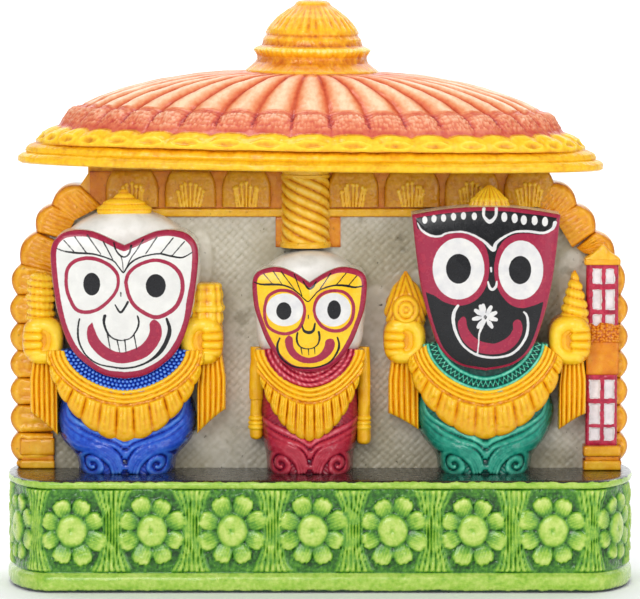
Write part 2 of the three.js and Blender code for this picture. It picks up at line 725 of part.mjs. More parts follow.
// What shows above a head: a few flat rings, or a tuft.
function crest(x, { x: dx, rows }) {
  const rings = rows.map(([z, half]) => Array.from({ length: 8 }, (_, i) => {
    const angle = (Math.PI * (i + 0.5)) / 4;
    return [x + dx + half * Math.cos(angle), CREST_MIDDLE + half * 0.5 * Math.sin(angle), z];
  }));
  return loft(rings);
}

// What the figures must keep clear of: the raised border of the arch and the window pillar.
function wallRelief() {
  const front = BORDER_FRONT;
  const inner = [
    [-64.4, 20], [-64.4, 73.5], [-59, 82], [-51.6, 88.3],
    [54.2, 88.3], [60.4, 79.5], [64.3, 73.5], [64.3, 20],
  ];
  const outer = [[90, 20], [90, 110], [-90, 110], [-90, 20]];
  return [
    plate([...inner, ...outer], WALL_FRONT + 5, front),
    box([PILLAR.left - 0.2 - GAP, 90], [PILLAR.front - 0.6 - GAP, WALL_FRONT + 5], [20, 90]),
    box([PILLAR_FOOT.left - GAP, 90], [PILLAR_FOOT.front - GAP, WALL_FRONT + 5], [20, 33 + GAP]),
  ];
}

function figure(spec) {
  const parts = [mask(spec), skirt(spec), ...skirtFolds(spec), ...collarAndNecklace(spec)];
  if (spec.head) parts.push(headDome(spec));
  for (const part of spec.hands) parts.push(...hand(spec.x, part));
  for (const part of spec.sleeves) parts.push(sleeve(spec.x, part));
  for (const part of spec.held) parts.push(...upright(spec.x, part));
  if (spec.crest) parts.push(crest(spec.x, spec.crest));
  const below = box([-90, 90], [-40, 40], [-10, PLINTH_TOP]);
  return [below, ...wallRelief()].reduce((rest, cutter) => rest.subtract(cutter), join(parts));
}

function painted(name, shape, colour) {
  const material = new THREE.MeshStandardMaterial({ color: colour, roughness: 0.35, metalness: 0 });
  const geometry = geometryOf(shape);
  geometry.computeVertexNormals();
  const mesh = new THREE.Mesh(geometry, material);
  mesh.name = name;
  return mesh;
}

const shrine = new THREE.Group();
shrine.name = 'triad_shrine';
shrine.add(painted('plinth', plinth(), 0x4c9a3a));
shrine.add(painted('back_wall', backWall(), 0xe0a020));
shrine.add(painted('canopy', canopy(), 0xe9b040));
for (const [name, spec] of Object.entries(FIGURES)) shrine.add(painted(name, figure(spec), spec.colour));

export default shrine;
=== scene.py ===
import math

import bpy
import numpy as np
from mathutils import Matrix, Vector


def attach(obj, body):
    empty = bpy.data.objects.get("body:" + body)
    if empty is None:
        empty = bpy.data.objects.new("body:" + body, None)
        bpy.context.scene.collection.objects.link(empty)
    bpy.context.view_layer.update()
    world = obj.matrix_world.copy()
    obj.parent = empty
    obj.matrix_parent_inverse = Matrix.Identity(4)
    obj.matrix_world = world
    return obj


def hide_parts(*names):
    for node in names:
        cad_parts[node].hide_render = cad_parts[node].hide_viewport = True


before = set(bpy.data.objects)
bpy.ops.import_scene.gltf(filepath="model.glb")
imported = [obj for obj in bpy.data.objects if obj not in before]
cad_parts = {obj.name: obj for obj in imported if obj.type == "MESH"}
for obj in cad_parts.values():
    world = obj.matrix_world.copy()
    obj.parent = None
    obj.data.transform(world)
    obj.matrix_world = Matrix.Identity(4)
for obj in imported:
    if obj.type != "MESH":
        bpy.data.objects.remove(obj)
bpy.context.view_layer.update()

# Looks of the painted triad shrine souvenir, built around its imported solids.
# Sizes are in millimetres and follow part.mjs. The meshes are scaled to metres as they are made.

MM = 0.001

# Plinth
PLINTH_STRAIGHT = 64
PLINTH_HALF_DEPTH = 25
END_REACH = 12
FRIEZE = {"low": 4.9, "high": 24.9, "inset": 1.2, "middle": 15, "pitch": 19.2, "shift": -1.8, "each_side": 5}
PLINTH_FOOT_ROWS = [(2.0, 0), (1.0, 0.1), (0.35, 0.6), (0, 1.5), (-0.0, 2.6), (0.05, 3.6), (0.35, 4.2), (1.0, 4.6)]
PLINTH_LIP_ROWS = [(0.7, 25.15), (0.15, 25.4), (0, 25.8), (0.03, 26.3), (0.25, 26.75), (0.7, 26.97), (2.2, 27)]

# Back wall and arch
WALL_FRONT = 3
WALL_BACK = 15
WALL_TOP = 102
LEFT_VALLEYS = [(-56.5, 99), (-58.4, 96.2), (-65.3, 91.5), (-68.9, 84.8), (-72.8, 77)]
RIGHT_VALLEYS = [(54.8, 99), (56.4, 96.8), (62.5, 91.5), (67, 84.9), (71.7, 78.2)]
SIDE_VALLEYS_Z = [69.5, 62.5, 55.8, 49.2, 42.6, 35.8, 29]
TOP_PETALS = [(-45.7, 6.5), (-31.5, 6.3), (-17.9, 6), (8, 6.3), (22.4, 6.8), (37, 6.7), (50.9, 6.2)]
SHOULDER_PETALS = [
    ("left", 1, (-60, 87.6), (-53, 91.2)), ("left", 2, (-62, 83), (-59, 89)),
    ("left", 3, (-64.6, 74.4), (-62.4, 82)), ("right", 1, (58, 87.6), (52.5, 91.2)),
    ("right", 2, (61.4, 81), (56.6, 89)), ("right", 3, (64.4, 79.6), (62.4, 81)),
]

# Canopy
CANOPY_X = -2.3
RIM_LOW = 101
TILT = 0.014
RIBS = 40
FRONT_RIBS = 22
DOME_HEIGHT = 22.8
COLLAR_HALF_WIDTH = 17
DOME_HALF_DEPTH = 26
DOME_PROFILE = [
    (0, 70.3), (0.4, 71), (1.5, 71), (2.2, 70.2), (2.55, 69), (2.9, 69.3), (3.9, 68.9), (4.5, 68), (4.9, 66.6),
    (6, 65.3), (7.2, 63.8), (8.4, 62.2), (9.6, 60.6), (11.2, 58.3), (12.6, 56.2), (14.1, 53.8), (15.5, 51),
    (17, 47), (18.4, 42.3), (19.9, 36.4), (21.3, 29), (22.2, 22.4), (DOME_HEIGHT, COLLAR_HALF_WIDTH),
]
FINIAL_PROFILE = [
    (21.2, 16.4), (22.4, 16.2), (23.3, 15.9), (24.3, 14.6), (25.2, 13.6), (26, 13.3), (26.7, 13.3), (28.2, 14),
    (28.7, 13.6), (29.3, 12.2), (30, 11.9), (30.8, 11.8), (31.8, 11), (32.3, 11.2), (33, 10.9), (33.7, 10.4),
    (36.1, 8.3), (38.1, 5.7), (38.9, 4.5), (39.6, 4), (40, 3.4), (40.2, 2),
]

# Shared arithmetic


def ease(low, high, value):
    """0 below low, 1 above high, and a smooth rise between them."""
    t = np.clip((value - low) / (high - low), 0, 1)
    return t * t * (3 - 2 * t)


def hump(distance, half):
    """1 at no distance, 0 from half on, with a round top and a steep foot."""
    return np.sqrt(np.clip(1 - (distance / half) ** 2, 0, None))


TABLE = np.random.default_rng(11).uniform(-1, 1, (64, 64))


def drift(a, b, pitch, seed=0):
    """Smooth unevenness from -1 to 1 with swells about pitch apart."""
    u, v = np.asarray(a) / pitch + seed * 5.37, np.asarray(b) / pitch + seed * 2.71
    i, j = np.floor(u).astype(int), np.floor(v).astype(int)
    s, t = ease(0, 1, u - i), ease(0, 1, v - j)

    def corner(p, q):
        return TABLE[(i + p) % 64, (j + q) % 64]

    near = corner(0, 0) * (1 - s) + corner(1, 0) * s
    far = corner(0, 1) * (1 - s) + corner(1, 1) * s
    return near * (1 - t) + far * t


def pebbles(a, b, pitch):
    """Round grains about pitch across: 1 on top of a grain, 0 between grains."""
    u, v = a / pitch, b / pitch
    i, j = np.floor(u).astype(int), np.floor(v).astype(int)
    nearest = np.full(np.shape(u), 9.0)
    for p in (-1, 0, 1):
        for q in (-1, 0, 1):
            x, y = i + p, j + q
            across = u - x - 0.5 - 0.3 * TABLE[x % 64, y % 64]
            up = v - y - 0.5 - 0.3 * TABLE[y % 64, (x + 9) % 64]
            nearest = np.minimum(nearest, across**2 + up**2)
    return np.clip(1 - nearest / 0.28, 0, 1)


def averaged(grid, cells):
    """The grid blurred over about that many cells each way."""
    kernel = np.exp(-0.5 * (np.arange(-2 * cells, 2 * cells + 1) / cells) ** 2)
    kernel /= kernel.sum()
    for axis in (0, 1):
        pad = [(2 * cells, 2 * cells) if k == axis else (0, 0) for k in (0, 1)]
        padded = np.pad(grid, pad, mode="edge")
        grid = np.apply_along_axis(np.convolve, axis, padded, kernel, mode="valid")
    return grid


def worn(height, cells, depth):
    """0 in the grooves of a relief, where paint collects, and 1 on its ridges."""
    return np.clip(0.5 + (height - averaged(height, cells)) / depth, 0, 1)


def curve(points, steps=8):
    """A smooth curve through the points, which are rows of two numbers."""
    p = np.asarray(points, float)
    last = len(p) - 1
    pieces = []
    for k in range(last):
        a, b, c, d = p[max(k - 1, 0)], p[k], p[k + 1], p[min(k + 2, last)]
        t = np.linspace(0, 1, steps, endpoint=False)[:, None]
        cubic = 2 * b + (c - a) * t + (2 * a - 5 * b + 4 * c - d) * t**2 + (3 * b - a - 3 * c + d) * t**3
        pieces.append(cubic / 2)
    return np.concatenate([*pieces, p[last:]])


def evenly(path, count):
    """count points at equal distances along a path."""
    path = np.asarray(path, float)
    lengths = np.concatenate([[0], np.cumsum(np.linalg.norm(np.diff(path, axis=0), axis=1))])
    at = np.linspace(0, lengths[-1], count)
    return np.stack([np.interp(at, lengths, path[:, k]) for k in (0, 1)], -1)


def from_line(x, z, path):
    """The distance of each point from a path, and how far along it the nearest place is, from 0 to 1."""
    best, along = np.full(np.shape(x), 1e9), np.zeros(np.shape(x))
    count = len(path) - 1
    for k in range(count):
        (ax, az), (bx, bz) = path[k], path[k + 1]
        dx, dz = bx - ax, bz - az
        t = np.clip(((x - ax) * dx + (z - az) * dz) / max(dx * dx + dz * dz, 1e-9), 0, 1)
        distance = np.hypot(x - ax - t * dx, z - az - t * dz)
        along = np.where(distance < best, (k + t) / count, along)
        best = np.minimum(best, distance)
    return best, along


def stroke(x, z, points, widths):
    """How far each point is outside a brush stroke, negative inside. widths are its half widths along it."""
    distance, along = from_line(x, z, curve(points, 6))
    return distance - np.interp(along, np.linspace(0, 1, len(widths)), widths)


def area(x, z, points):
    """How far each point is outside a closed smooth outline, negative inside."""
    path = curve([*points, points[0]], 6)
    distance, _ = from_line(x, z, path)
    inside = np.zeros(np.shape(x), bool)
    for (ax, az), (bx, bz) in zip(path[:-1], path[1:]):
        if az != bz:
            inside ^= ((az > z) != (bz > z)) & (x < (bx - ax) * (z - az) / (bz - az) + ax)
    return np.where(inside, -distance, distance)


def oval(x, z, centre, half_width, half_height):
    """How far each point is outside an ellipse, negative inside."""
    u, v = (x - centre[0]) / half_width, (z - centre[1]) / half_height
    size = np.hypot(u, v)
    return size * (size - 1) / np.maximum(np.hypot(u / half_width, v / half_height), 1e-6)


# Meshes


def quads(rows, columns, closed):
    r, c = np.meshgrid(np.arange(rows - 1), np.arange(columns if closed else columns - 1), indexing="ij")
    a, b = r * columns + c, r * columns + (c + 1) % columns
    return np.stack([a, b, b + columns, a + columns], -1).reshape(-1, 4)


def signed_volume(points, faces):
    total = 0
    for face in faces:
        corners = points[face]
        for k in range(1, face.shape[1] - 1):
            across = np.cross(corners[:, k], corners[:, k + 1])
            total += np.einsum("ij,ij->", corners[:, 0], across)
    return total


class Cast:
    """Closed shells gathered into one mesh. Each shell has one paint and a number for each point and name."""

    def __init__(self):
        self.points, self.faces, self.values = [], [], []
        self.count = 0

    def shell(self, points, faces, paint, values):
        outward = faces if signed_volume(points, faces) > 0 else [face[:, ::-1] for face in faces]
        self.points.append(points)
        self.faces += [(face + self.count, paint) for face in outward]
        self.values.append((len(points), values))
        self.count += len(points)

    def loft(self, rings, paint=0, **values):
        """A closed form through rings of points, with a flat face over each end."""
        rows, columns = rings.shape[:2]
        ring = np.arange(columns)[None]
        faces = [quads(rows, columns, True), ring[:, ::-1], ring + (rows - 1) * columns]
        flat = {name: np.broadcast_to(value, (rows, columns)).ravel() for name, value in values.items()}
        self.shell(rings.reshape(-1, 3), faces, paint, flat)

    def slab(self, front, back, paint=0, **values):
        """A closed form with a carved front, given as a grid of points, and straight sides to a flat back."""
        rows, columns = front.shape[:2]
        number = np.arange(rows * columns).reshape(rows, columns)
        edge = np.concatenate([number[0, :-1], number[:-1, -1], number[-1, :0:-1], number[:0:-1, 0]])
        points = front.reshape(-1, 3)
        behind = points[edge].copy()
        behind[:, 1] = back
        copy = rows * columns + np.arange(len(edge))
        sides = np.stack([edge, copy, np.roll(copy, -1), np.roll(edge, -1)], -1)
        flat = {}
        for name, value in values.items():
            spread = np.broadcast_to(value, (rows, columns)).ravel()
            flat[name] = np.concatenate([spread, spread[edge]])
        faces = [quads(rows, columns, False), sides, copy[None, ::-1]]
        self.shell(np.concatenate([points, behind]), faces, paint, flat)

    def finish(self, name, paints, slot, *nodes):
        """Makes the object, which stands for those nodes of the solid model."""
        mesh = bpy.data.meshes.new(name)
        points = np.concatenate(self.points) * MM
        corners = np.concatenate([face.ravel() for face, _ in self.faces])
        sizes = np.concatenate([np.full(len(face), face.shape[1]) for face, _ in self.faces])
        worn_by = np.concatenate([np.full(len(face), paint) for face, paint in self.faces])
        mesh.vertices.add(len(points))
        mesh.vertices.foreach_set("co", points.astype(np.float32).ravel())
        mesh.loops.add(len(corners))
        mesh.loops.foreach_set("vertex_index", corners.astype(np.int32))
        mesh.polygons.add(len(sizes))
        starts = np.concatenate([[0], np.cumsum(sizes)[:-1]])
        mesh.polygons.foreach_set("loop_start", starts.astype(np.int32))
        mesh.polygons.foreach_set("material_index", worn_by.astype(np.int32))
        mesh.update(calc_edges=True)
        mesh.validate()
        mesh.shade_smooth()
        mesh.set_sharp_from_angle(angle=math.radians(50))
        for value_name in sorted({key for _, values in self.values for key in values}):
            parts = [values.get(value_name, np.full(size, 0.5)) for size, values in self.values]
            attribute = mesh.attributes.new(value_name, "FLOAT", "POINT")
            attribute.data.foreach_set("value", np.concatenate(parts).astype(np.float32))
        for paint in paints:
            mesh.materials.append(paint)
        piece = bpy.data.objects.new(name, mesh)
        bpy.context.collection.objects.link(piece)
        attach(piece, "root")
        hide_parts(*nodes)
        return piece


# Paints


def colour(text):
    """A web colour as linear red, green, blue and 1."""
    parts = [int(text[k:k + 2], 16) / 255 for k in (0, 2, 4)]
    return (*[((c + 0.055) / 1.055) ** 2.4 if c > 0.04045 else c / 12.92 for c in parts], 1)


class Paint:
    """A painted surface, built up from nodes."""

    def __init__(self, name, coat=0.2):
        self.material = bpy.data.materials.new(name)
        self.material.use_nodes = True
        self.tree = self.material.node_tree
        self.shader = self.tree.nodes["Principled BSDF"]
        self.shader.inputs["Coat Weight"].default_value = coat
        self.shader.inputs["Coat Roughness"].default_value = 0.14
        self.shader.inputs["Specular IOR Level"].default_value = 0.3
        self.place = self.tree.nodes.new("ShaderNodeTexCoord").outputs["Object"]

    def put(self, value, socket):
        if isinstance(value, bpy.types.NodeSocket):
            self.tree.links.new(value, socket)
        else:
            socket.default_value = value

    def value(self, name):
        """A number stored on the mesh's points."""
        node = self.tree.nodes.new("ShaderNodeAttribute")
        node.attribute_name = name
        return node.outputs["Fac"]

    def noise(self, size, detail=2, stretch=(1, 1, 1)):
        """Noise with grains of that size in millimetres."""
        mapping = self.tree.nodes.new("ShaderNodeMapping")
        mapping.inputs["Scale"].default_value = [1 / (size * MM * s) for s in stretch]
        self.put(self.place, mapping.inputs["Vector"])
        node = self.tree.nodes.new("ShaderNodeTexNoise")
        node.inputs["Scale"].default_value = 1
        node.inputs["Detail"].default_value = detail
        self.put(mapping.outputs["Vector"], node.inputs["Vector"])
        return node.outputs["Fac"]

    def math(self, kind, a, b):
        node = self.tree.nodes.new("ShaderNodeMath")
        node.operation = kind
        self.put(a, node.inputs[0])
        self.put(b, node.inputs[1])
        return node.outputs[0]

    def spread(self, value, low, high, new_low=0.0, new_high=1.0):
        """value moved from one range to another, smoothly and without leaving it."""
        node = self.tree.nodes.new("ShaderNodeMapRange")
        node.interpolation_type = "SMOOTHSTEP"
        settings = {"Value": value, "From Min": low, "From Max": high, "To Min": new_low, "To Max": new_high}
        for name, setting in settings.items():
            self.put(setting, node.inputs[name])
        return node.outputs["Result"]

    def ramp(self, value, stops):
        node = self.tree.nodes.new("ShaderNodeValToRGB")
        elements = node.color_ramp.elements
        elements[0].position, elements[0].color = stops[0][0], colour(stops[0][1])
        elements[1].position, elements[1].color = stops[-1][0], colour(stops[-1][1])
        for place, text in stops[1:-1]:
            elements.new(place).color = colour(text)
        self.put(value, node.inputs["Fac"])
        return node.outputs["Color"]

    def mix(self, amount, a, b, kind="MIX"):
        """Colour a with colour b over it by amount."""
        node = self.tree.nodes.new("ShaderNodeMix")
        node.data_type = "RGBA"
        node.blend_type = kind
        self.put(amount, node.inputs["Factor"])
        self.put(a, node.inputs[6])
        self.put(b, node.inputs[7])
        return node.outputs[2]

    def height(self, axis):
        """The place along an axis, in metres."""
        node = self.tree.nodes.new("ShaderNodeSeparateXYZ")
        self.put(self.place, node.inputs[0])
        return node.outputs[axis]

    def finish(self, base, gloss=(0.2, 0.38), grain=0.5, depth=0.05):
        """Joins the colour, an uneven gloss and a fine grain to the shader."""
        self.put(base, self.shader.inputs["Base Color"])
        uneven = self.math("ADD", self.noise(1.6, 3), self.math("MULTIPLY", self.noise(0.3, 2), 0.35))
        self.put(self.spread(uneven, 0.4, 0.95, *gloss), self.shader.inputs["Roughness"])
        bump = self.tree.nodes.new("ShaderNodeBump")
        bump.inputs["Strength"].default_value = 0.6
        bump.inputs["Distance"].default_value = depth * MM
        both = self.math("ADD", self.noise(grain, 3), self.math("MULTIPLY", self.noise(grain * 5, 2), 1.5))
        self.put(both, bump.inputs["Height"])
        self.put(bump.outputs["Normal"], self.shader.inputs["Normal"])
        return self.material


def brushed(name, stops, tints=(), mottle=0.35, darkening=0.0, **finish):
    """Paint that lies dark in the grooves and light on the ridges, uneven from the brush."""
    paint = Paint(name)
    uneven = paint.math("ADD", paint.noise(1.1, 3), paint.math("MULTIPLY", paint.noise(4.5, 2), 0.9))
    shift = paint.math("MULTIPLY", paint.math("SUBTRACT", uneven, 0.95), mottle)
    base = paint.ramp(paint.math("ADD", paint.value("relief"), shift), stops)
    for value_name, text in tints:
        amount = paint.math("MULTIPLY", paint.value(value_name), paint.spread(paint.noise(2.5, 3), 0.2, 0.6, 0.6, 1))
        base = paint.mix(amount, base, colour(text), "MULTIPLY")
    if darkening:
        specks = paint.spread(paint.noise(0.9, 4), 0.64, 0.74, 0, darkening)
        base = paint.mix(specks, base, colour("5a4c2c"), "MULTIPLY")
    return paint.finish(base, **finish)


# Plinth

END_ANGLES = np.radians(np.linspace(-90, 90, 721))
END_SPEEDS = np.hypot(END_REACH * np.sin(END_ANGLES), PLINTH_HALF_DEPTH * np.cos(END_ANGLES))
END_LENGTHS = np.concatenate([[0], np.cumsum((END_SPEEDS[1:] + END_SPEEDS[:-1]) / 2 * np.diff(END_ANGLES))])
HALF_ROUND = 2 * PLINTH_STRAIGHT + END_LENGTHS[-1]


def plan(distance):
    """Point and outward direction on the plinth's plan, at a distance along it from the front's middle."""
    side = np.where(distance < 0, -1, 1)
    past = np.abs(distance) - PLINTH_STRAIGHT
    angle = np.interp(past, END_LENGTHS, END_ANGLES)
    behind = np.clip(past - END_LENGTHS[-1], 0, None)
    x = side * (np.minimum(np.abs(distance), PLINTH_STRAIGHT) + END_REACH * np.cos(angle) * (past > 0) - behind)
    normal = np.stack([np.cos(angle) / END_REACH * (past > 0), np.sin(angle) / PLINTH_HALF_DEPTH])
    normal /= np.linalg.norm(normal, axis=0)
    return x, PLINTH_HALF_DEPTH * np.sin(angle), side * normal[0], normal[1]


def flower(u, v, number):
    """A flower of the frieze: eight notched petals around a boss, hatched on every other flower."""
    height = np.zeros(np.shape(u))
    for k in range(8):
        angle = math.pi / 4 * (k + 0.5)
        size = 1 + 0.07 * TABLE[k, number % 64]
        along = (u * math.cos(angle) + v * math.sin(angle)) / size - 6.1
        across = (-u * math.sin(angle) + v * math.cos(angle)) / size
        wide = 2.35 + 0.1 * along
        tip = 2.05 + 0.32 * np.abs(np.cos(across * 2.3 + k)) + 0.1 * TABLE[number % 64, k]
        long = np.where(along > 0, tip, 2.3)
        inside = (along / long) ** 2 * np.where(along > 0, 1, 0.7) + np.abs(across / wide) ** 2.6
        dome = np.clip(1 - inside**1.6, 0, 1) ** 0.45
        flutes = 0.22 * np.abs(np.cos(across * 4.4)) * ease(2.4, -0.8, along)
        height = np.maximum(height, dome * (0.95 + 0.14 * along + 0.1 * across * TABLE[k, 5]) - flutes * dome)
    boss = np.clip(1 - np.hypot(u / 3.8, v / 4.1) ** 5, 0, 1) ** 0.5
    hatching = np.maximum(np.abs(np.sin(u * 3.6 + v * 0.3)), np.abs(np.sin(v * 3.4 - u * 0.4))) ** 14
    centre = 0.35 * np.exp(-np.hypot(u + 0.2, v) ** 2 / 0.5)
    carved = 0.17 * hatching if number % 2 else centre + 0.1 * hatching * ease(2.6, 1, np.hypot(u, v))
    return np.maximum(height, boss * (1.25 - 0.18 * (u**2 + v**2) / 12) - carved * boss)


def sheaf(u, v, number):
    """Reeds between two flowers, spread at both ends."""
    spread = 0.82 + 0.75 * np.abs(v / 9.5) ** 2.2 + 0.05 * TABLE[number % 64, 3]
    reed = u / spread + 0.25 * drift(u, v, 3, number)
    shape = 0.25 + 0.75 * np.abs(np.cos(reed * 3.5)) ** 0.7
    inside = np.clip(1 - np.abs(reed / 3.3) ** 4, 0, 1)
    return inside * shape * (0.85 + 0.15 * drift(u, v, 1.4, 3))


def frieze(distance, z):
    u, v = distance + 0 * z, z - FRIEZE["middle"] + 0 * distance
    height = 0.16 * pebbles(u, v, 0.9) + 0.1 * drift(u, v, 0.6) + 0.12 * drift(u, 0.25 * v, 0.5, 4)
    for k in np.arange(-FRIEZE["each_side"], FRIEZE["each_side"] + 0.6, 0.5):
        middle = FRIEZE["shift"] + k * FRIEZE["pitch"]
        near = np.abs(u[0] - middle) < FRIEZE["pitch"] / 2
        shape = flower if k == int(k) else sheaf
        part = shape(u[:, near] - middle, v[:, near], int(2 * k) + 20)
        height[:, near] = np.maximum(height[:, near], part)
    end = ease(FRIEZE["pitch"] * 5.6, FRIEZE["pitch"] * 5.2, np.abs(u))
    edges = ease(FRIEZE["low"], FRIEZE["low"] + 0.5, z) * ease(FRIEZE["high"], FRIEZE["high"] - 0.4, z)
    return height * end * edges


def plinth():
    fine = np.arange(-112, 112.1, 0.36)
    rear = np.linspace(112, HALF_ROUND, 24)[1:]
    distance = np.concatenate([-rear[:0:-1], fine, rear])
    high_rows = np.linspace(FRIEZE["low"], FRIEZE["high"], 62)
    rows = PLINTH_FOOT_ROWS + [(FRIEZE["inset"], z) for z in high_rows] + PLINTH_LIP_ROWS
    inset, z = (np.array(column)[:, None] for column in zip(*rows))
    x, y, nx, ny = plan(distance)
    carved = (z >= FRIEZE["low"]) & (z <= FRIEZE["high"])
    height = np.where(carved, frieze(distance[None], z), 0.07 * drift(distance, z, 2.4) - 0.07)
    lift = height - inset
    rings = np.stack([x + nx * lift, y + ny * lift, z + 0 * x], -1)
    ridges = np.where(carved, 0.2 + 0.5 * height + 0.7 * (worn(height, 3, 1.5) - 0.5), 0.72)
    cast = Cast()
    cast.loft(rings, relief=np.clip(ridges, 0, 1))
    return cast.finish("plinth_cast", [plinth_green()], "plinth_paint", "plinth")


def plinth_green():
    paint = Paint("green_enamel", coat=0.3)
    uneven = paint.math("ADD", paint.noise(1, 3), paint.math("MULTIPLY", paint.noise(5, 2, (1, 1, 0.5)), 0.9))
    shift = paint.math("MULTIPLY", paint.math("SUBTRACT", uneven, 0.95), 0.5)
    stops = [(0, "173f14"), (0.2, "36701d"), (0.42, "5f9a2c"), (0.66, "98c042"), (0.86, "bdd469"), (1, "cfdd80")]
    base = paint.ramp(paint.math("ADD", paint.value("relief"), shift), stops)
    above = paint.height("Z")
    ragged = paint.math("MULTIPLY", paint.math("SUBTRACT", paint.noise(2, 4), 0.5), 0.0011)
    edge = paint.math("ADD", above, ragged)
    base = paint.mix(paint.spread(edge, 26.62 * MM, 26.8 * MM), base, colour("101113"))
    # Painted shade: a dark band along the bottom edge, where the plinth meets the floor.
    base = paint.mix(paint.spread(edge, 0.95 * MM, 0.5 * MM), base, colour("123128"))
    return paint.finish(base, gloss=(0.16, 0.34), grain=0.4)


# Back wall and arch


def arch_edges(side):
    shoulder, x = (LEFT_VALLEYS, -73.7) if side == "left" else (RIGHT_VALLEYS, 73.2)
    return [*shoulder, *[(x, z) for z in SIDE_VALLEYS_Z], (x, 27)]


def bulge(index):
    """How far a lobe of the outline stands out."""
    last = len(LEFT_VALLEYS) + len(SIDE_VALLEYS_Z) - 1
    return 0 if index == 0 else 0.6 if index == last else 2


def lobe(a, b, out, steps):
    """A bow from a to b that stands out to the left of the way by out."""
    a, b = np.array(a, float), np.array(b, float)
    t = np.linspace(0, 1, steps)[:, None]
    dx, dz = b - a
    length = math.hypot(dx, dz)
    return a + (b - a) * t + np.array([-dz, dx]) * out * 4 * t * (1 - t) / length


def arch_outline():
    sides = []
    for side, turn in (("right", 1), ("left", -1)):
        edges = arch_edges(side)
        bows = [lobe(edges[k], edges[k + 1], turn * bulge(k), 9)[:-1] for k in range(len(edges) - 1)]
        sides.append(np.concatenate([[(edges[0][0], WALL_TOP)], *bows, [edges[-1]]]))
    return np.concatenate([sides[0], sides[1][::-1]])


def inset_by(outline, amount):
    """A closed outline moved inwards, for one given clockwise as seen from the front."""
    ahead, behind = np.roll(outline, -1, axis=0), np.roll(outline, 1, axis=0)
    along = ahead - behind
    along /= np.linalg.norm(along, axis=1)[:, None]
    return outline + np.stack([along[:, 1], -along[:, 0]], -1) * amount


def wall_plate(cast):
    outline = arch_outline()
    rows = [(3.15, 0.5), (3.3, 0.12), (3.8, 0), (7, 0), (11, 0), (14.2, 0), (14.8, 0.3), (15, 0.9)]
    rings = []
    for y, amount in rows:
        path = inset_by(outline, amount)
        path[:, 1] = np.clip(path[:, 1], 27, WALL_TOP)
        rings.append(np.stack([path[:, 0], np.full(len(path), y), path[:, 1]], -1))
    cast.loft(np.array(rings), 0, relief=0.55)


CLEAN_PATCHES = [(-62, 75, 5, 8), (-29, 78, 3, 8), (14, 64, 5, 8), (62, 71, 4, 9), (24, 68, 4, 8)]


def woven_panel(cast):
    x, z = np.meshgrid(np.arange(-65.8, 65.9, 0.38), np.arange(27, 90.1, 0.38))
    strand = 1.42
    p, q = (x + 1.05 * z) / math.sqrt(2) + 0.25 * drift(x, z, 9), (x - z) / math.sqrt(2) + 0.25 * drift(z, x, 9)
    i, j = np.floor(p / strand), np.floor(q / strand)
    across_p, across_q = p / strand - i - 0.5, q / strand - j - 0.5
    over = (i + j) % 2 == 0
    a, b = np.where(over, across_q, across_p), np.where(over, across_p, across_q)
    weave = (1 - (2 * a) ** 2) * (0.55 + 0.45 * np.cos(math.pi * b))
    left = np.clip(0.62 + 0.5 * drift(x, z, 14, 2), 0.12, 1)
    for px, pz, rx, rz in CLEAN_PATCHES:
        left = left * ease(0.8, 1.3, np.hypot((x - px) / rx, (z - pz) / rz))
    height = 0.4 * weave * left + 0.1 * drift(x, z, 0.9, 5) + 0.18 * drift(x, z, 5, 6)
    front = np.stack([x, WALL_FRONT - 0.15 - height, z], -1)
    # Darker in broad blotches and towards the bottom, only where the weave is left; the value goes in as shade.
    darkening = np.clip(0.5 + 0.6 * drift(x, z, 11, 8) + 0.35 * ease(45, 28, z), 0, 1) * ease(0, 0.25, left)
    cast.slab(front, WALL_FRONT + 1, 1, relief=worn(height, 3, 0.55), shade=darkening)


def petal(cast, base, edge, front, crown, veins, paint=0, **tints):
    """A leaf of the arch from its base, two points, out to its rounded edge, a path."""
    edge = np.asarray(edge, float)
    wide = max(np.linalg.norm(edge[-1] - edge[0]), 3)
    columns, rows = int(wide / 0.3) + 8, int(9 / 0.34)
    u, v = np.linspace(0, 1, columns), np.linspace(0, 1, rows)[:, None, None]
    outer = evenly(edge, columns)
    inner = np.array(base[0]) + (np.array(base[1]) - np.array(base[0])) * u[:, None]
    place = inner + (outer - inner) * v
    v = v[:, :, 0]
    across = 2 * u[None] - 1
    rim = np.clip(1 - np.abs(across) ** 8, 0, 1) ** 0.5 * np.clip(1 - v**12, 0, 1) ** 0.5
    fan = np.abs(np.cos(across * veins * math.pi / 2))
    ribs = 0.26 * fan**1.5 * ease(0.95, 0.6, v) * ease(1.02, 0.8, np.abs(across))
    lip = 0.3 * np.exp(-((v - 0.86) / 0.07) ** 2)
    rough = 0.13 * drift(place[..., 0], place[..., 1], 0.8, 3) + 0.1 * drift(place[..., 0], place[..., 1], 2, 4)
    height = (crown * (0.55 + 0.45 * np.sin(math.pi * (0.15 + 0.7 * v))) + ribs + lip + rough) * (0.4 + 0.6 * rim)
    y = front + crown + 0.4 - height
    relief = np.clip(0.12 + 0.88 * worn(height, 3, 1.5) * (0.25 + 0.75 * rim**2) + 0.08 * (v - 0.5), 0, 1)
    cast.slab(np.stack([place[..., 0], y, place[..., 1]], -1), WALL_FRONT + 0.6, paint, relief=relief, **tints)


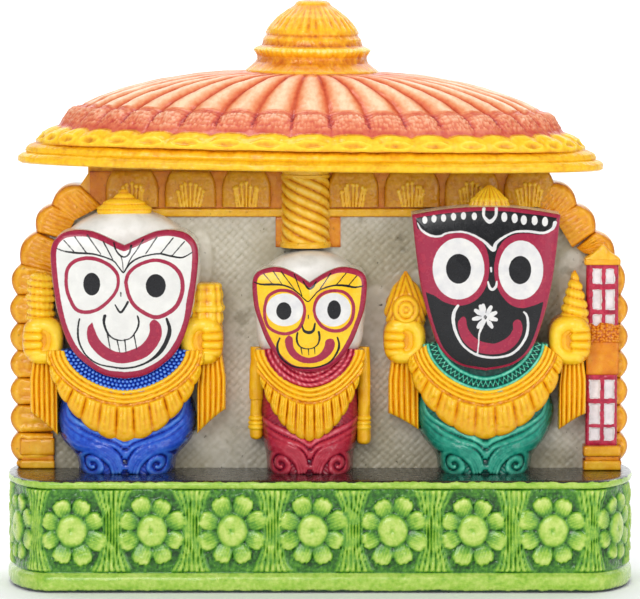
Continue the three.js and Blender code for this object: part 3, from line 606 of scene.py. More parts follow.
def top_petal(cast, x, half):
    """A shell of the row under the canopy, with a small fan of beaded veins."""
    u, z = np.linspace(-1, 1, 52), np.linspace(91, 99.8, 34)[:, None]
    reach = half * (1 - 0.32 * np.clip((z - 94.5) / 5.6, 0, 1) ** 2.4)
    px = x + u[None] * reach
    rim = np.clip(1 - np.abs(u) ** 10, 0, 1) ** 0.5 * np.clip(1 - ((z - 91) / 8.8) ** 14, 0, 1) ** 0.5
    veins = np.zeros(px.shape)
    for k in range(-3, 4):
        turn = math.radians(11.5 * k) * (1 + 0.15 * TABLE[k, int(x) % 64])
        reach_up = 5.6 - 0.28 * abs(k) + 0.4 * TABLE[int(x) % 64, k]
        tip = (x + reach_up * math.sin(turn) * 1.1, 91 + reach_up * math.cos(turn))
        root = (x + 0.75 * k, 91)
        distance, _ = from_line(px, z + 0 * px, [root, tip])
        bead = np.hypot(px - tip[0], z - tip[1])
        veins = np.maximum(veins, np.maximum(0.3 * hump(distance, 0.34), 0.42 * hump(bead, 0.5)))
    rough = 0.12 * drift(px, z, 0.7, 2) + 0.08 * pebbles(px, z + 0 * px, 0.8)
    height = (1.0 + 0.35 * np.cos(u * 1.4) + veins + rough) * rim
    relief = np.clip(0.3 + 0.35 * worn(height, 3, 1.0) * rim**2 + 0.8 * veins, 0, 1)
    front = np.stack([px, 1.75 - height, z + 0 * px], -1)
    # The shade value paints shade over the leaves under the canopy, less on the raised veins.
    cast.slab(front, WALL_FRONT + 0.6, 0, relief=relief, shade=0.45 - 0.3 * (veins > 0.1), warm=0.0)


def edge_path(side, index):
    """The rounded edge of the leaf that fills one lobe of the outline."""
    edges, turn = arch_edges(side), 1 if side == "right" else -1
    a, b = (np.array(edges[index + k], float) for k in (0, 1))
    return lobe(a, b, turn * (bulge(index) - 0.2), 24)


def ledge(cast, x, z, front, roll, paint=0, back=WALL_FRONT + 0.6, **tints):
    """A block or moulding with a rounded, slightly uneven front."""
    columns, rows = int((x[1] - x[0]) / 0.35) + 6, int((z[1] - z[0]) / 0.25) + 6
    u, v = np.linspace(-1, 1, columns)[None], np.linspace(-1, 1, rows)[:, None]
    px = (x[0] + x[1]) / 2 + u * (x[1] - x[0]) / 2 + 0 * v
    pz = (z[0] + z[1]) / 2 + v * (z[1] - z[0]) / 2 + 0 * u
    fall = roll * (1 - np.clip(1 - np.abs(v) ** 4, 0, 1) ** 0.5) + roll * 0.6 * np.abs(u) ** 20
    uneven = 0.09 * drift(px, pz, 1.5, 6)
    relief = np.clip(0.72 - 0.5 * fall / max(roll, 0.1) + uneven, 0, 1)
    cast.slab(np.stack([px, front + fall + uneven, pz], -1), back, paint, relief=relief, **tints)


def arch(cast):
    for x, half in TOP_PETALS:
        top_petal(cast, x, half)
    for side, index, low, high in SHOULDER_PETALS:
        path = edge_path(side, index)
        ends = (low, high) if side == "right" and low[1] > high[1] else (high, low)
        petal(cast, ends, path, 0.1, 1.5, 7, warm=0.45, shade=0.05)
    for k, low in enumerate(SIDE_VALLEYS_Z):
        high = 76 if k == 0 else SIDE_VALLEYS_Z[k - 1] - 0.2
        index = len(LEFT_VALLEYS) - 1 + k
        for side, base_x in (("left", -65.2), ("right", 69.5)):
            path = edge_path(side, index)
            ends = ((base_x, high), (base_x, low + 0.2))
            petal(cast, ends, path, 0.4, 1.3, 3, warm=0.12 if side == "left" else 0.4, shade=0.0)
    # The shade values paint shade on the blocks: most behind the row of leaves under the canopy, less on the rail and
    # behind the pole.
    ledge(cast, (-56, 54.6), (90.4, 99.6), 2.1, 0.1, warm=0.8, shade=0.35)
    ledge(cast, (-52, 54), (88.5, 90.6), 1.5, 0.5, warm=0.0, shade=0.25)
    ledge(cast, (-10.8, 5), (81.1, 88.6), 2.2, 0.3, warm=0.7, shade=0.25)


def golden():
    stops = [(0, "8a3f06"), (0.2, "c4740a"), (0.42, "dd9812"), (0.66, "edb422"), (0.86, "f6c73a"), (1, "f8d66a")]
    # The shade tint is painted shade, olive over the gold: most under the canopy, a little on the pole and pillars.
    tints = [("warm", "f0b45c"), ("shade", "b9a64e")]
    return brushed("golden_enamel", stops, tints, mottle=0.4, darkening=0.35)


def bare_resin():
    """The plate: golden at its front edge, with ragged brushwork towards the bare back."""
    paint = Paint("bare_resin", coat=0.15)
    stops = [(0.2, "b9b19c"), (0.5, "d8d2c2"), (0.8, "e9e5da")]
    cloudy = paint.math("ADD", paint.noise(6, 4), paint.math("MULTIPLY", paint.noise(0.8, 3), 0.25))
    bare = paint.ramp(paint.math("SUBTRACT", cloudy, 0.1), stops)
    gold = paint.ramp(paint.noise(3, 4), [(0.25, "c9780c"), (0.5, "f0ad14"), (0.75, "fbcb2c")])
    ragged = paint.math("MULTIPLY", paint.math("SUBTRACT", paint.noise(5, 4), 0.5), 0.011)
    amount = paint.spread(paint.math("ADD", paint.height("Y"), ragged), 8.2 * MM, 7.6 * MM)
    return paint.finish(paint.mix(amount, bare, gold), gloss=(0.3, 0.5), grain=0.7, depth=0.08)


def wall_white():
    paint = Paint("white_wash", coat=0.2)
    stops = [(0, "aba58f"), (0.3, "c6c1b0"), (0.6, "d3cfc2"), (1, "e0ddd2")]
    uneven = paint.math("MULTIPLY", paint.math("SUBTRACT", paint.noise(2.5, 4), 0.5), 0.5)
    base = paint.ramp(paint.math("ADD", paint.value("relief"), uneven), stops)
    # The value named shade darkens the weave in broad blotches and towards the bottom.
    base = paint.mix(paint.math("MULTIPLY", paint.value("shade"), 0.75), base, colour("b3ab90"), "MULTIPLY")
    specks = paint.spread(paint.noise(1.3, 5), 0.66, 0.76, 0, 0.85)
    base = paint.mix(specks, base, colour("55503c"), "MULTIPLY")
    blots = paint.spread(paint.noise(7, 4), 0.62, 0.74, 0, 0.5)
    base = paint.mix(blots, base, colour("8b8262"), "MULTIPLY")
    return paint.finish(base, gloss=(0.35, 0.55), grain=0.5, depth=0.06)


def twisted_pole(cast):
    x, y, radius, low, high, lead = -3.5, 2, 5.9, 81.1, 98.6, 15
    z, angle = np.linspace(low, high, 110)[:, None], np.linspace(0, 2 * math.pi, 120, endpoint=False)[None]
    turn = (z - low) / lead * 2 * math.pi
    wave = np.abs(np.cos(3 * (angle + turn) + 0.25 * drift(z, angle, 2))) ** 0.75
    reach = radius * (0.9 + 0.105 * wave) + 0.06 * drift(angle * 5, z, 1)
    rings = np.stack([x + reach * np.cos(angle), y + reach * np.sin(angle), z + 0 * angle], -1)
    cast.loft(rings, relief=np.clip(0.08 + 0.85 * wave, 0, 1), warm=0.1, shade=0.12)
    for rows in ([(81.1, 5.9), (81.2, 6.2), (82, 6.3), (82.5, 6.1), (82.7, 5.6)],
                 [(98, 5.6), (98.2, 5.9), (98.8, 6), (99.1, 5.7), (99.6, 5.8), (100.6, 5.8)]):
        z, reach = (np.array(part)[:, None] for part in zip(*rows))
        band = np.stack([x + reach * np.cos(angle), y + reach * np.sin(angle), z + 0 * angle], -1)
        cast.loft(band, relief=0.75, warm=0.1, shade=0.12)


PANES = {
    "upper": {"columns": [(66.4, 68.3), (69.5, 71.4)], "rows": [(62.4, 64.8), (66.3, 70.9), (72.6, 76)]},
    "lower": {"columns": [(65.7, 68), (69.3, 71.5)], "rows": [(34.3, 37.2), (38.3, 43.1), (44.6, 48.8)]},
}


def window(cast, x, z, panes):
    columns, rows = int((x[1] - x[0]) / 0.2), int((z[1] - z[0]) / 0.2)
    px, pz = np.meshgrid(np.linspace(*x, columns), np.linspace(*z, rows))
    outside = np.full(px.shape, 9.0)
    for left, right in panes["columns"]:
        for low, high in panes["rows"]:
            apart = np.maximum(np.abs(px - (left + right) / 2) - (right - left) / 2,
                               np.abs(pz - (low + high) / 2) - (high - low) / 2)
            outside = np.minimum(outside, apart)
    depth = 0.6 * ease(0.12, -0.2, outside) - 0.1 * hump(np.clip(outside, 0, 9) - 0.5, 0.6)
    fall = 0.5 * np.clip(np.abs(px - np.mean(x)) * 2 / (x[1] - x[0]), 0, 1) ** 14
    front = np.stack([px, -1.5 + depth + fall + 0.07 * drift(px, pz, 1), pz], -1)
    cast.slab(front, WALL_FRONT + 0.6, 2, red=outside, relief=0.5)


def pillars(cast):
    window(cast, (64.8, 72.5), (61.6, 77.4), PANES["upper"])
    window(cast, (64.7, 72.3), (32.9, 50.2), PANES["lower"])
    ledge(cast, (64.7, 72.6), (50.2, 58.4), -1.8, 0.35, warm=0.9, shade=0.1)
    x, z = np.meshgrid(np.linspace(64.6, 72.7, 40), np.linspace(58.2, 62.6, 24))
    hang = 0.35 * pebbles(x, z, 0.7) + 0.2 * np.abs(np.sin(x * 3)) * ease(60, 61.5, z)
    lower = 0.5 * drift(x, z, 1.2, 3)
    front = np.stack([x, -1.7 - hang, z + lower * ease(60, 62.6, z)], -1)
    cast.slab(front, WALL_FRONT + 0.6, 0, relief=worn(hang, 2, 0.5), warm=0.9, shade=0.1)
    roof = [(64.2, 77.3), (64.4, 78.6), (66.6, 80.2), (68.6, 82), (70.6, 80.2), (72.8, 78.6), (73, 77.3)]
    u = np.linspace(0, 1, 42)
    top = evenly(curve(roof, 6), 42)
    v = np.linspace(0, 1, 22)[:, None, None]
    foot = np.stack([64.2 + 8.8 * u, np.full(42, 77.2)], -1)
    place = foot + (top - foot) * v
    ribs = 0.2 * np.abs(np.cos((place[..., 0] - 68.6) * 1.4)) * v[..., 0]
    crown = 0.8 * np.clip(1 - np.abs(2 * u - 1) ** 6, 0, 1) * np.clip(1 - v[..., 0] ** 6, 0, 1) ** 0.5
    cast.slab(np.stack([place[..., 0], -1.2 - crown - ribs, place[..., 1]], -1), WALL_FRONT + 0.6, 0,
              relief=np.clip(0.55 + ribs + 0.2 * crown, 0, 1), warm=0.2, shade=0.0)
    ledge(cast, (64.3, 72.9), (77, 78.5), -2.2, 0.4, warm=0.3, shade=0.0)
    ledge(cast, (64.1, 73.2), (27, 29.5), -3.7, 0.6, warm=0.1, shade=0.1)
    ledge(cast, (64.6, 72.8), (29.3, 30.6), -2.9, 0.3, warm=0.8, shade=0.2)
    ledge(cast, (64.1, 73.2), (30.4, 33), -3.7, 0.6, warm=0.3, shade=0.1)
    ledge(cast, (-73.2, -64.8), (27, 29.1), 0.2, 0.5, warm=0.1, shade=0.1)
    ledge(cast, (-72.9, -65), (29, 30.4), 0.8, 0.2, warm=0.8, shade=0.2)
    ledge(cast, (-73.2, -64.8), (30.2, 34.5), 0.2, 0.6, warm=0.3, shade=0.1)


def back_wall():
    cast = Cast()
    wall_plate(cast)
    woven_panel(cast)
    plain = cast.finish("wall_cast", [bare_resin(), wall_white()], "wall_paint", "back_wall")
    gold = golden()
    cast = Cast()
    arch(cast)
    leaves = cast.finish("arch_petals", [gold], "wall_paint", "back_wall")
    cast = Cast()
    twisted_pole(cast)
    pole = cast.finish("twisted_pole", [gold], "wall_paint", "back_wall")
    cast = Cast()
    pillars(cast)
    frames = cast.finish("pillars", [gold, gold, window_paint()], "wall_paint", "back_wall")
    return plain, leaves, pole, frames


def window_paint():
    paint = Paint("window_paint", coat=0.35)
    wobble = paint.math("MULTIPLY", paint.math("SUBTRACT", paint.noise(1.2, 3), 0.5), 0.7)
    edge = paint.math("ADD", paint.value("red"), wobble)
    red = paint.ramp(paint.noise(1.2, 3), [(0.3, "8f1230"), (0.5, "b01a3c"), (0.75, "c8344f")])
    white = paint.ramp(paint.noise(2, 3), [(0.3, "d5cccb"), (0.7, "ebe2e1")])
    return paint.finish(paint.mix(paint.spread(edge, 0.1, 0.22), white, red))


# Canopy


def tilted(points):
    """The canopy leans: its rim is lower on the right."""
    x, y, z = np.moveaxis(points, -1, 0)
    return np.stack([x + TILT * (z - RIM_LOW), y, z - TILT * (x - CANOPY_X)], -1)


def dome_depth(z):
    waist = COLLAR_HALF_WIDTH - 0.5
    fall = np.sqrt(np.clip(1 - (z / (DOME_HEIGHT + 0.6)) ** 2, 0, None))
    return waist + (DOME_HALF_DEPTH - waist) * fall


def arch_top(phase):
    """The height of the scallops' broad arches, which meet in narrow valleys."""
    return 8 + 0.8 * (1 - np.abs(2 * phase) ** 2.5)


def dome_relief(phase, z, reach, side):
    """How far the carving stands out. phase runs from -0.5 to 0.5 across a rib, with its crest at 0."""
    crest = np.cos(2 * math.pi * phase)
    width = 2 * math.pi * reach / RIBS
    ribs = (1 - np.abs(2 * phase) ** 2.4) * np.clip(0.16 * width, 0.25, 0.95) * ease(10, 11.8, z)
    ribs = ribs * ease(23.4, 21.6, z)
    line = 0.16 * np.exp(-((z - 13 - 0.12 * crest) / 0.13) ** 2)
    line = line + 0.14 * np.exp(-((z - 13.7 - 0.12 * crest) / 0.13) ** 2)
    across = phase * width
    leaf = 0.34 * pebbles(across + 31 * side, z * 1.15, 0.85) * ease(9.4, 10.2, z) * ease(12.9, 12.4, z)
    bulb = 0.55 * hump(phase, 0.47) * ease(9, 10.4, z) * ease(13.3, 12.1, z)
    top = arch_top(phase)
    t = np.clip((z - 5) / (top - 5), 0, 1.2)
    scallop = 0.95 * np.sqrt(np.clip(np.sin(math.pi * np.clip(t, 0, 1) ** 0.85), 0, None)) * (z > 5)
    scallop = scallop * (0.72 + 0.28 * np.clip(crest + 0.4, 0, 1))
    eye = np.hypot(phase / 0.28, (z - 5.9) / 0.62)
    hollow = -0.55 * np.exp(-eye**2) + 0.28 * np.exp(-((eye - 1.25) / 0.3) ** 2)
    return ribs + line + leaf + bulb + scallop + hollow * ease(4.9, 5.3, z) * ease(8, 7.2, z)


def canopy_dome():
    front_share = FRONT_RIBS / RIBS
    front = np.linspace(-0.5, 0.5, FRONT_RIBS * 27, endpoint=False) * front_share
    rear = np.linspace(front_share / 2, 1 - front_share / 2, (RIBS - FRONT_RIBS) * 11, endpoint=False)
    around = np.concatenate([front, rear])[None]
    angle = 2 * math.pi * around
    phase = (around * RIBS + 0.5) % 1 - 0.5
    knots = np.array(DOME_PROFILE)
    z = np.concatenate([
        np.linspace(0, 2.4, 12), np.linspace(2.55, 4.9, 11), np.linspace(5.1, 9.6, 28),
        np.linspace(9.8, 14, 28), np.linspace(14.3, 19.4, 28), np.linspace(19.6, DOME_HEIGHT, 22),
    ])[:, None]
    reach = np.interp(z, knots[:, 0], knots[:, 1])
    depth = np.minimum(dome_depth(z) - (71 - np.minimum(reach, 71)) * (z < 4.9) * 0.8, reach)
    relief = dome_relief(phase, z, reach, np.floor(around * RIBS + 0.5))
    relief = relief + 0.12 * drift(angle * 30, z, 1.6, 4) + 0.07 * drift(angle * 60, z, 0.7, 5)
    slope = np.gradient(reach[:, 0], z[:, 0])[:, None]
    lean = 1 / np.hypot(1, np.clip(slope, -6, 0))
    out_x, up = relief * lean, relief * np.sqrt(1 - lean**2)
    x = (reach + out_x) * np.sin(angle)
    y = -(depth + out_x * 0.9) * np.cos(angle)
    rings = tilted(np.stack([CANOPY_X + x, y, RIM_LOW + z + up], -1))
    marks = worn(relief, 4, 1.1)
    ripple = np.where(z > 13.9, (1 - np.abs(2 * phase) ** 2) * 0.9 + 0.05, marks)
    under = [(0.35, 68.8), (0.05, 69.4), (0, 69.8)]
    below = [
        tilted(np.stack([CANOPY_X + r * np.sin(angle[0]), -(dome_depth(0) - 71 + r) * np.cos(angle[0]),
                         np.full(angle.shape[1], RIM_LOW + h)], -1))
        for h, r in under
    ]
    rings = np.concatenate([below, rings])
    lead = len(under)
    zone = np.concatenate([np.full((lead, 1), -1.0), z]) + 0 * angle
    shape = np.concatenate([np.full((lead, angle.shape[1]), 0.5), ripple])
    cast = Cast()
    cast.loft(rings, relief=np.clip(shape, 0, 1), zone=zone, edge=arch_top(phase) + 0 * zone)
    return cast.finish("canopy_dome", [canopy_paint()], "canopy_paint", "canopy")


def canopy_paint():
    """Peach ribs in red-orange grooves, a pink band of leaves below them, and a yellow rim."""
    paint = Paint("canopy_enamel", coat=0.3)
    uneven = paint.math("ADD", paint.noise(1, 3), paint.math("MULTIPLY", paint.noise(6, 3), 0.8))
    shift = paint.math("MULTIPLY", paint.math("SUBTRACT", uneven, 0.9), 0.45)
    worn_by = paint.math("ADD", paint.value("relief"), shift)
    zone = paint.math("ADD", paint.value("zone"), paint.math("MULTIPLY", shift, 0.8))
    ribs = [(0, "b8401c"), (0.3, "d8653a"), (0.55, "e58f5e"), (0.8, "eeb58a"), (1, "f5d3ac")]
    band = [(0, "9e2f2c"), (0.3, "c9503c"), (0.55, "dd7a52"), (0.8, "eaa680"), (1, "f2c9ac")]
    rim = [(0, "a8560a"), (0.25, "dc8f0c"), (0.5, "f6bd16"), (0.75, "fdd52f"), (1, "fee566")]
    base = paint.mix(paint.spread(zone, 13.2, 14.2), paint.ramp(worn_by, band), paint.ramp(worn_by, ribs))
    border = paint.math("SUBTRACT", zone, paint.value("edge"))
    base = paint.mix(paint.spread(border, 0.1, 0.5), paint.ramp(worn_by, rim), base)
    collar = paint.spread(zone, 19.5, 23, 0, 0.75)
    base = paint.mix(collar, base, paint.ramp(worn_by, [(0, "a8300f"), (0.5, "d9551f"), (1, "f08a3c")]))
    pale = paint.ramp(paint.noise(4, 3), [(0.3, "d9cfb4"), (0.7, "efe9d6")])
    base = paint.mix(paint.spread(paint.value("zone"), -0.05, -0.5), base, pale)
    return paint.finish(base, gloss=(0.26, 0.45), grain=0.4, depth=0.05)


def finial():
    z = np.concatenate([np.linspace(21.2, 33.4, 84), np.linspace(33.6, 40.2, 34)])[:, None]
    angle = np.linspace(0, 2 * math.pi, 288, endpoint=False)[None]
    knots = np.array(FINIAL_PROFILE)
    reach = np.interp(z, knots[:, 0], knots[:, 1])
    flutes = 0.34 * (np.abs(np.cos(angle * 16)) ** 0.8 - 0.4) * ease(32.6, 33.6, z) * ease(38.9, 37.4, z)
    beads = 0.22 * np.abs(np.cos(angle * 30)) * np.exp(-((z - 27.9) / 0.8) ** 2)
    uneven = 0.1 * drift(angle * 12, z, 1.2, 3) + 0.08 * drift(angle * 25, z, 0.6, 4)
    relief = flutes + beads + uneven
    size = reach + relief * np.clip(reach / 6, 0.2, 1)
    rings = np.stack([CANOPY_X + size * np.sin(angle), -size * np.cos(angle), RIM_LOW + z + 0 * angle], -1)
    profile = np.interp(z, knots[:, 0], knots[:, 1]) + 0 * angle
    marks = np.clip(0.5 + (profile - averaged(profile, 7)) / 1.5 + 1.1 * (relief - averaged(relief, 4)), 0, 1)
    cast = Cast()
    cast.loft(tilted(rings), relief=marks, warm=0.3 * ease(27, 24, z) + 0.15 + 0 * angle, shade=0.0,
              collar=ease(22.9, 22.2, z) + 0 * angle)
    stops = [(0, "a4480a"), (0.22, "d67a0c"), (0.45, "f0a616"), (0.68, "f8c326"), (0.88, "fcd548"), (1, "fde58a")]
    tints = [("warm", "f5c27a"), ("collar", "c8502a")]
    paint = brushed("finial_enamel", stops, tints, mottle=0.45)
    return cast.finish("finial", [paint], "canopy_paint", "canopy")


# Figures

FIGURE_BACK = 3
MASK_EDGE = -10.8
MASK_CROWN = 2.3
DRESS_FRONT = -10.6

FIGURES = {
    "balabhadra": {
        "x": -47.1, "centre": 70, "sharp": False,
        "mask_top": [(0, 82.6), (1.4, 83.2), (4.5, 84.7), (8, 86), (12, 86.2), (15.6, 85), (17.7, 81.5)],
        "mask_side": [(17.7, 81.5), (17.3, 74), (15.8, 65), (13.2, 58), (9.6, 54), (4.9, 51.1), (0, 50.2)],
        "head": (18.1, 76, 90.8), "border": (1.45, 1.6),
        "collar": (15.6, 56.8, 46.2), "necklace": (19, 56.8, 35), "weave": "beads", "leaves": 13,
        "skirt": [(27, 11.7), (30.5, 12.4), (35, 16), (40, 17), (47, 15.2)],
        "hands": [(-20.1, 59, 4.7, 5.6, -1), (18.5, 59, 5, 5.8, 1)],
        "sleeves": [(-23.3, -16.6, 41.3, 35.7), (24.2, 17.2, 42, 36)],
        "held": [("coil", -20.7, [(62, 3), (65, 3.3), (67, 2.9), (69, 3.4), (71, 3), (73.4, 3), (75.3, 1.4)]),
                 ("block", 19.6, [(62, 3.6), (66, 3.8), (70, 3.7), (72.2, 3.4), (72.8, 2.6)])],
        "crest": (-0.3, [(88, 5.5), (89.5, 6.2), (91, 6.7), (91.6, 5.6), (92.4, 5), (93, 3.8), (93.6, 2.4), (95, 1),
                         (95.6, 0.4)], "steps"),
        "base": [(0.3, "dad9d4"), (0.6, "e4e3dd"), (0.9, "ebeae5")],
        "cloth": [(0, "0c1752"), (0.25, "16309a"), (0.5, "2450c4"), (0.75, "3f79dd"), (1, "86b3ee")],
    },
    "subhadra": {
        "x": -2.5, "centre": 65, "sharp": False,
        "mask_top": [(0, 73.6), (1, 74.3), (3.8, 76), (7, 77.2), (10, 77.1), (12.8, 75.9), (13.8, 73.4)],
        "mask_side": [(13.8, 73.4), (13.4, 68), (12.2, 64), (10.2, 59), (7.4, 55), (3.8, 52.4), (0, 51.8)],
        "head": (13.7, 69, 80.8), "border": (1.25, 1.2),
        "collar": (11.8, 57.1, 46.7), "necklace": (13, 57.1, 35.2), "weave": "ropes", "leaves": 17,
        "skirt": [(27, 10.5), (31, 10.7), (35, 11.6), (40, 12.3), (47, 11.8)],
        "hands": [], "sleeves": [],
        "held": [("arm", -13, [(34.6, 1.2), (35.4, 1.9), (38, 1.9), (44, 1.7), (45, 2), (53, 1.8), (57.2, 1.6)]),
                 ("arm", 13.2, [(33.4, 1.3), (34.2, 2), (37, 2), (38, 1.8), (46, 1.8), (53, 1.8), (57.2, 1.6)])],
        "crest": None,
        "base": [(0.3, "ecb60f"), (0.6, "f4c81c"), (0.9, "f9d63a")],
        "cloth": [(0, "5a0a26"), (0.25, "8f1830"), (0.5, "b3273b"), (0.75, "cd4656"), (1, "e88b92")],
    },
    "jagannath": {
        "x": 40, "centre": 72, "sharp": True,
        "mask_top": [(0, 91.8), (6, 91.6), (12, 90.9), (17.9, 89.9)],
        "mask_side": [(17.9, 89.9), (16.8, 80), (15.6, 72), (13.6, 64), (11, 57.5), (6.4, 53.6), (0, 52.2)],
        "head": None, "border": (0.95, 0.6),
        "collar": (15.2, 58.3, 46.2), "necklace": (18.6, 55, 35.8), "weave": "zigzag", "leaves": 11,
        "skirt": [(27, 11.2), (31, 12), (36, 15.6), (42, 17), (47, 15.4)],
        "hands": [(-19.5, 59, 4.9, 5.6, -1), (20.6, 59, 4.9, 5.8, 1)],
        "sleeves": [(-23.4, -16, 41, 37), (24.6, 18, 41, 37)],
        "held": [("disc", -19.2, [(62, 4), (64, 4.9), (66.5, 5.2), (69, 4.7), (72, 2.9), (74.4, 1.1), (75.6, 0.4)]),
                 ("conch", 21.8, [(62, 3.1), (66, 3.1), (69, 2.4), (72, 1.6), (75, 0.7), (75.8, 0.4)])],
        "crest": (1, [(90, 5.6), (93, 4.2), (95.2, 2.2), (96.6, 0.6)], "flutes"),
        "base": [(0.3, "060709"), (0.6, "0b0c10"), (0.9, "141416")],
        "cloth": [(0, "04332d"), (0.25, "0d5f50"), (0.5, "1d9078"), (0.75, "48b899"), (1, "96e0c6")],
    },
}

# Painted marks of the masks, in millimetres from each figure's middle.
# A line has its half widths along it, and a ring is a closed line.

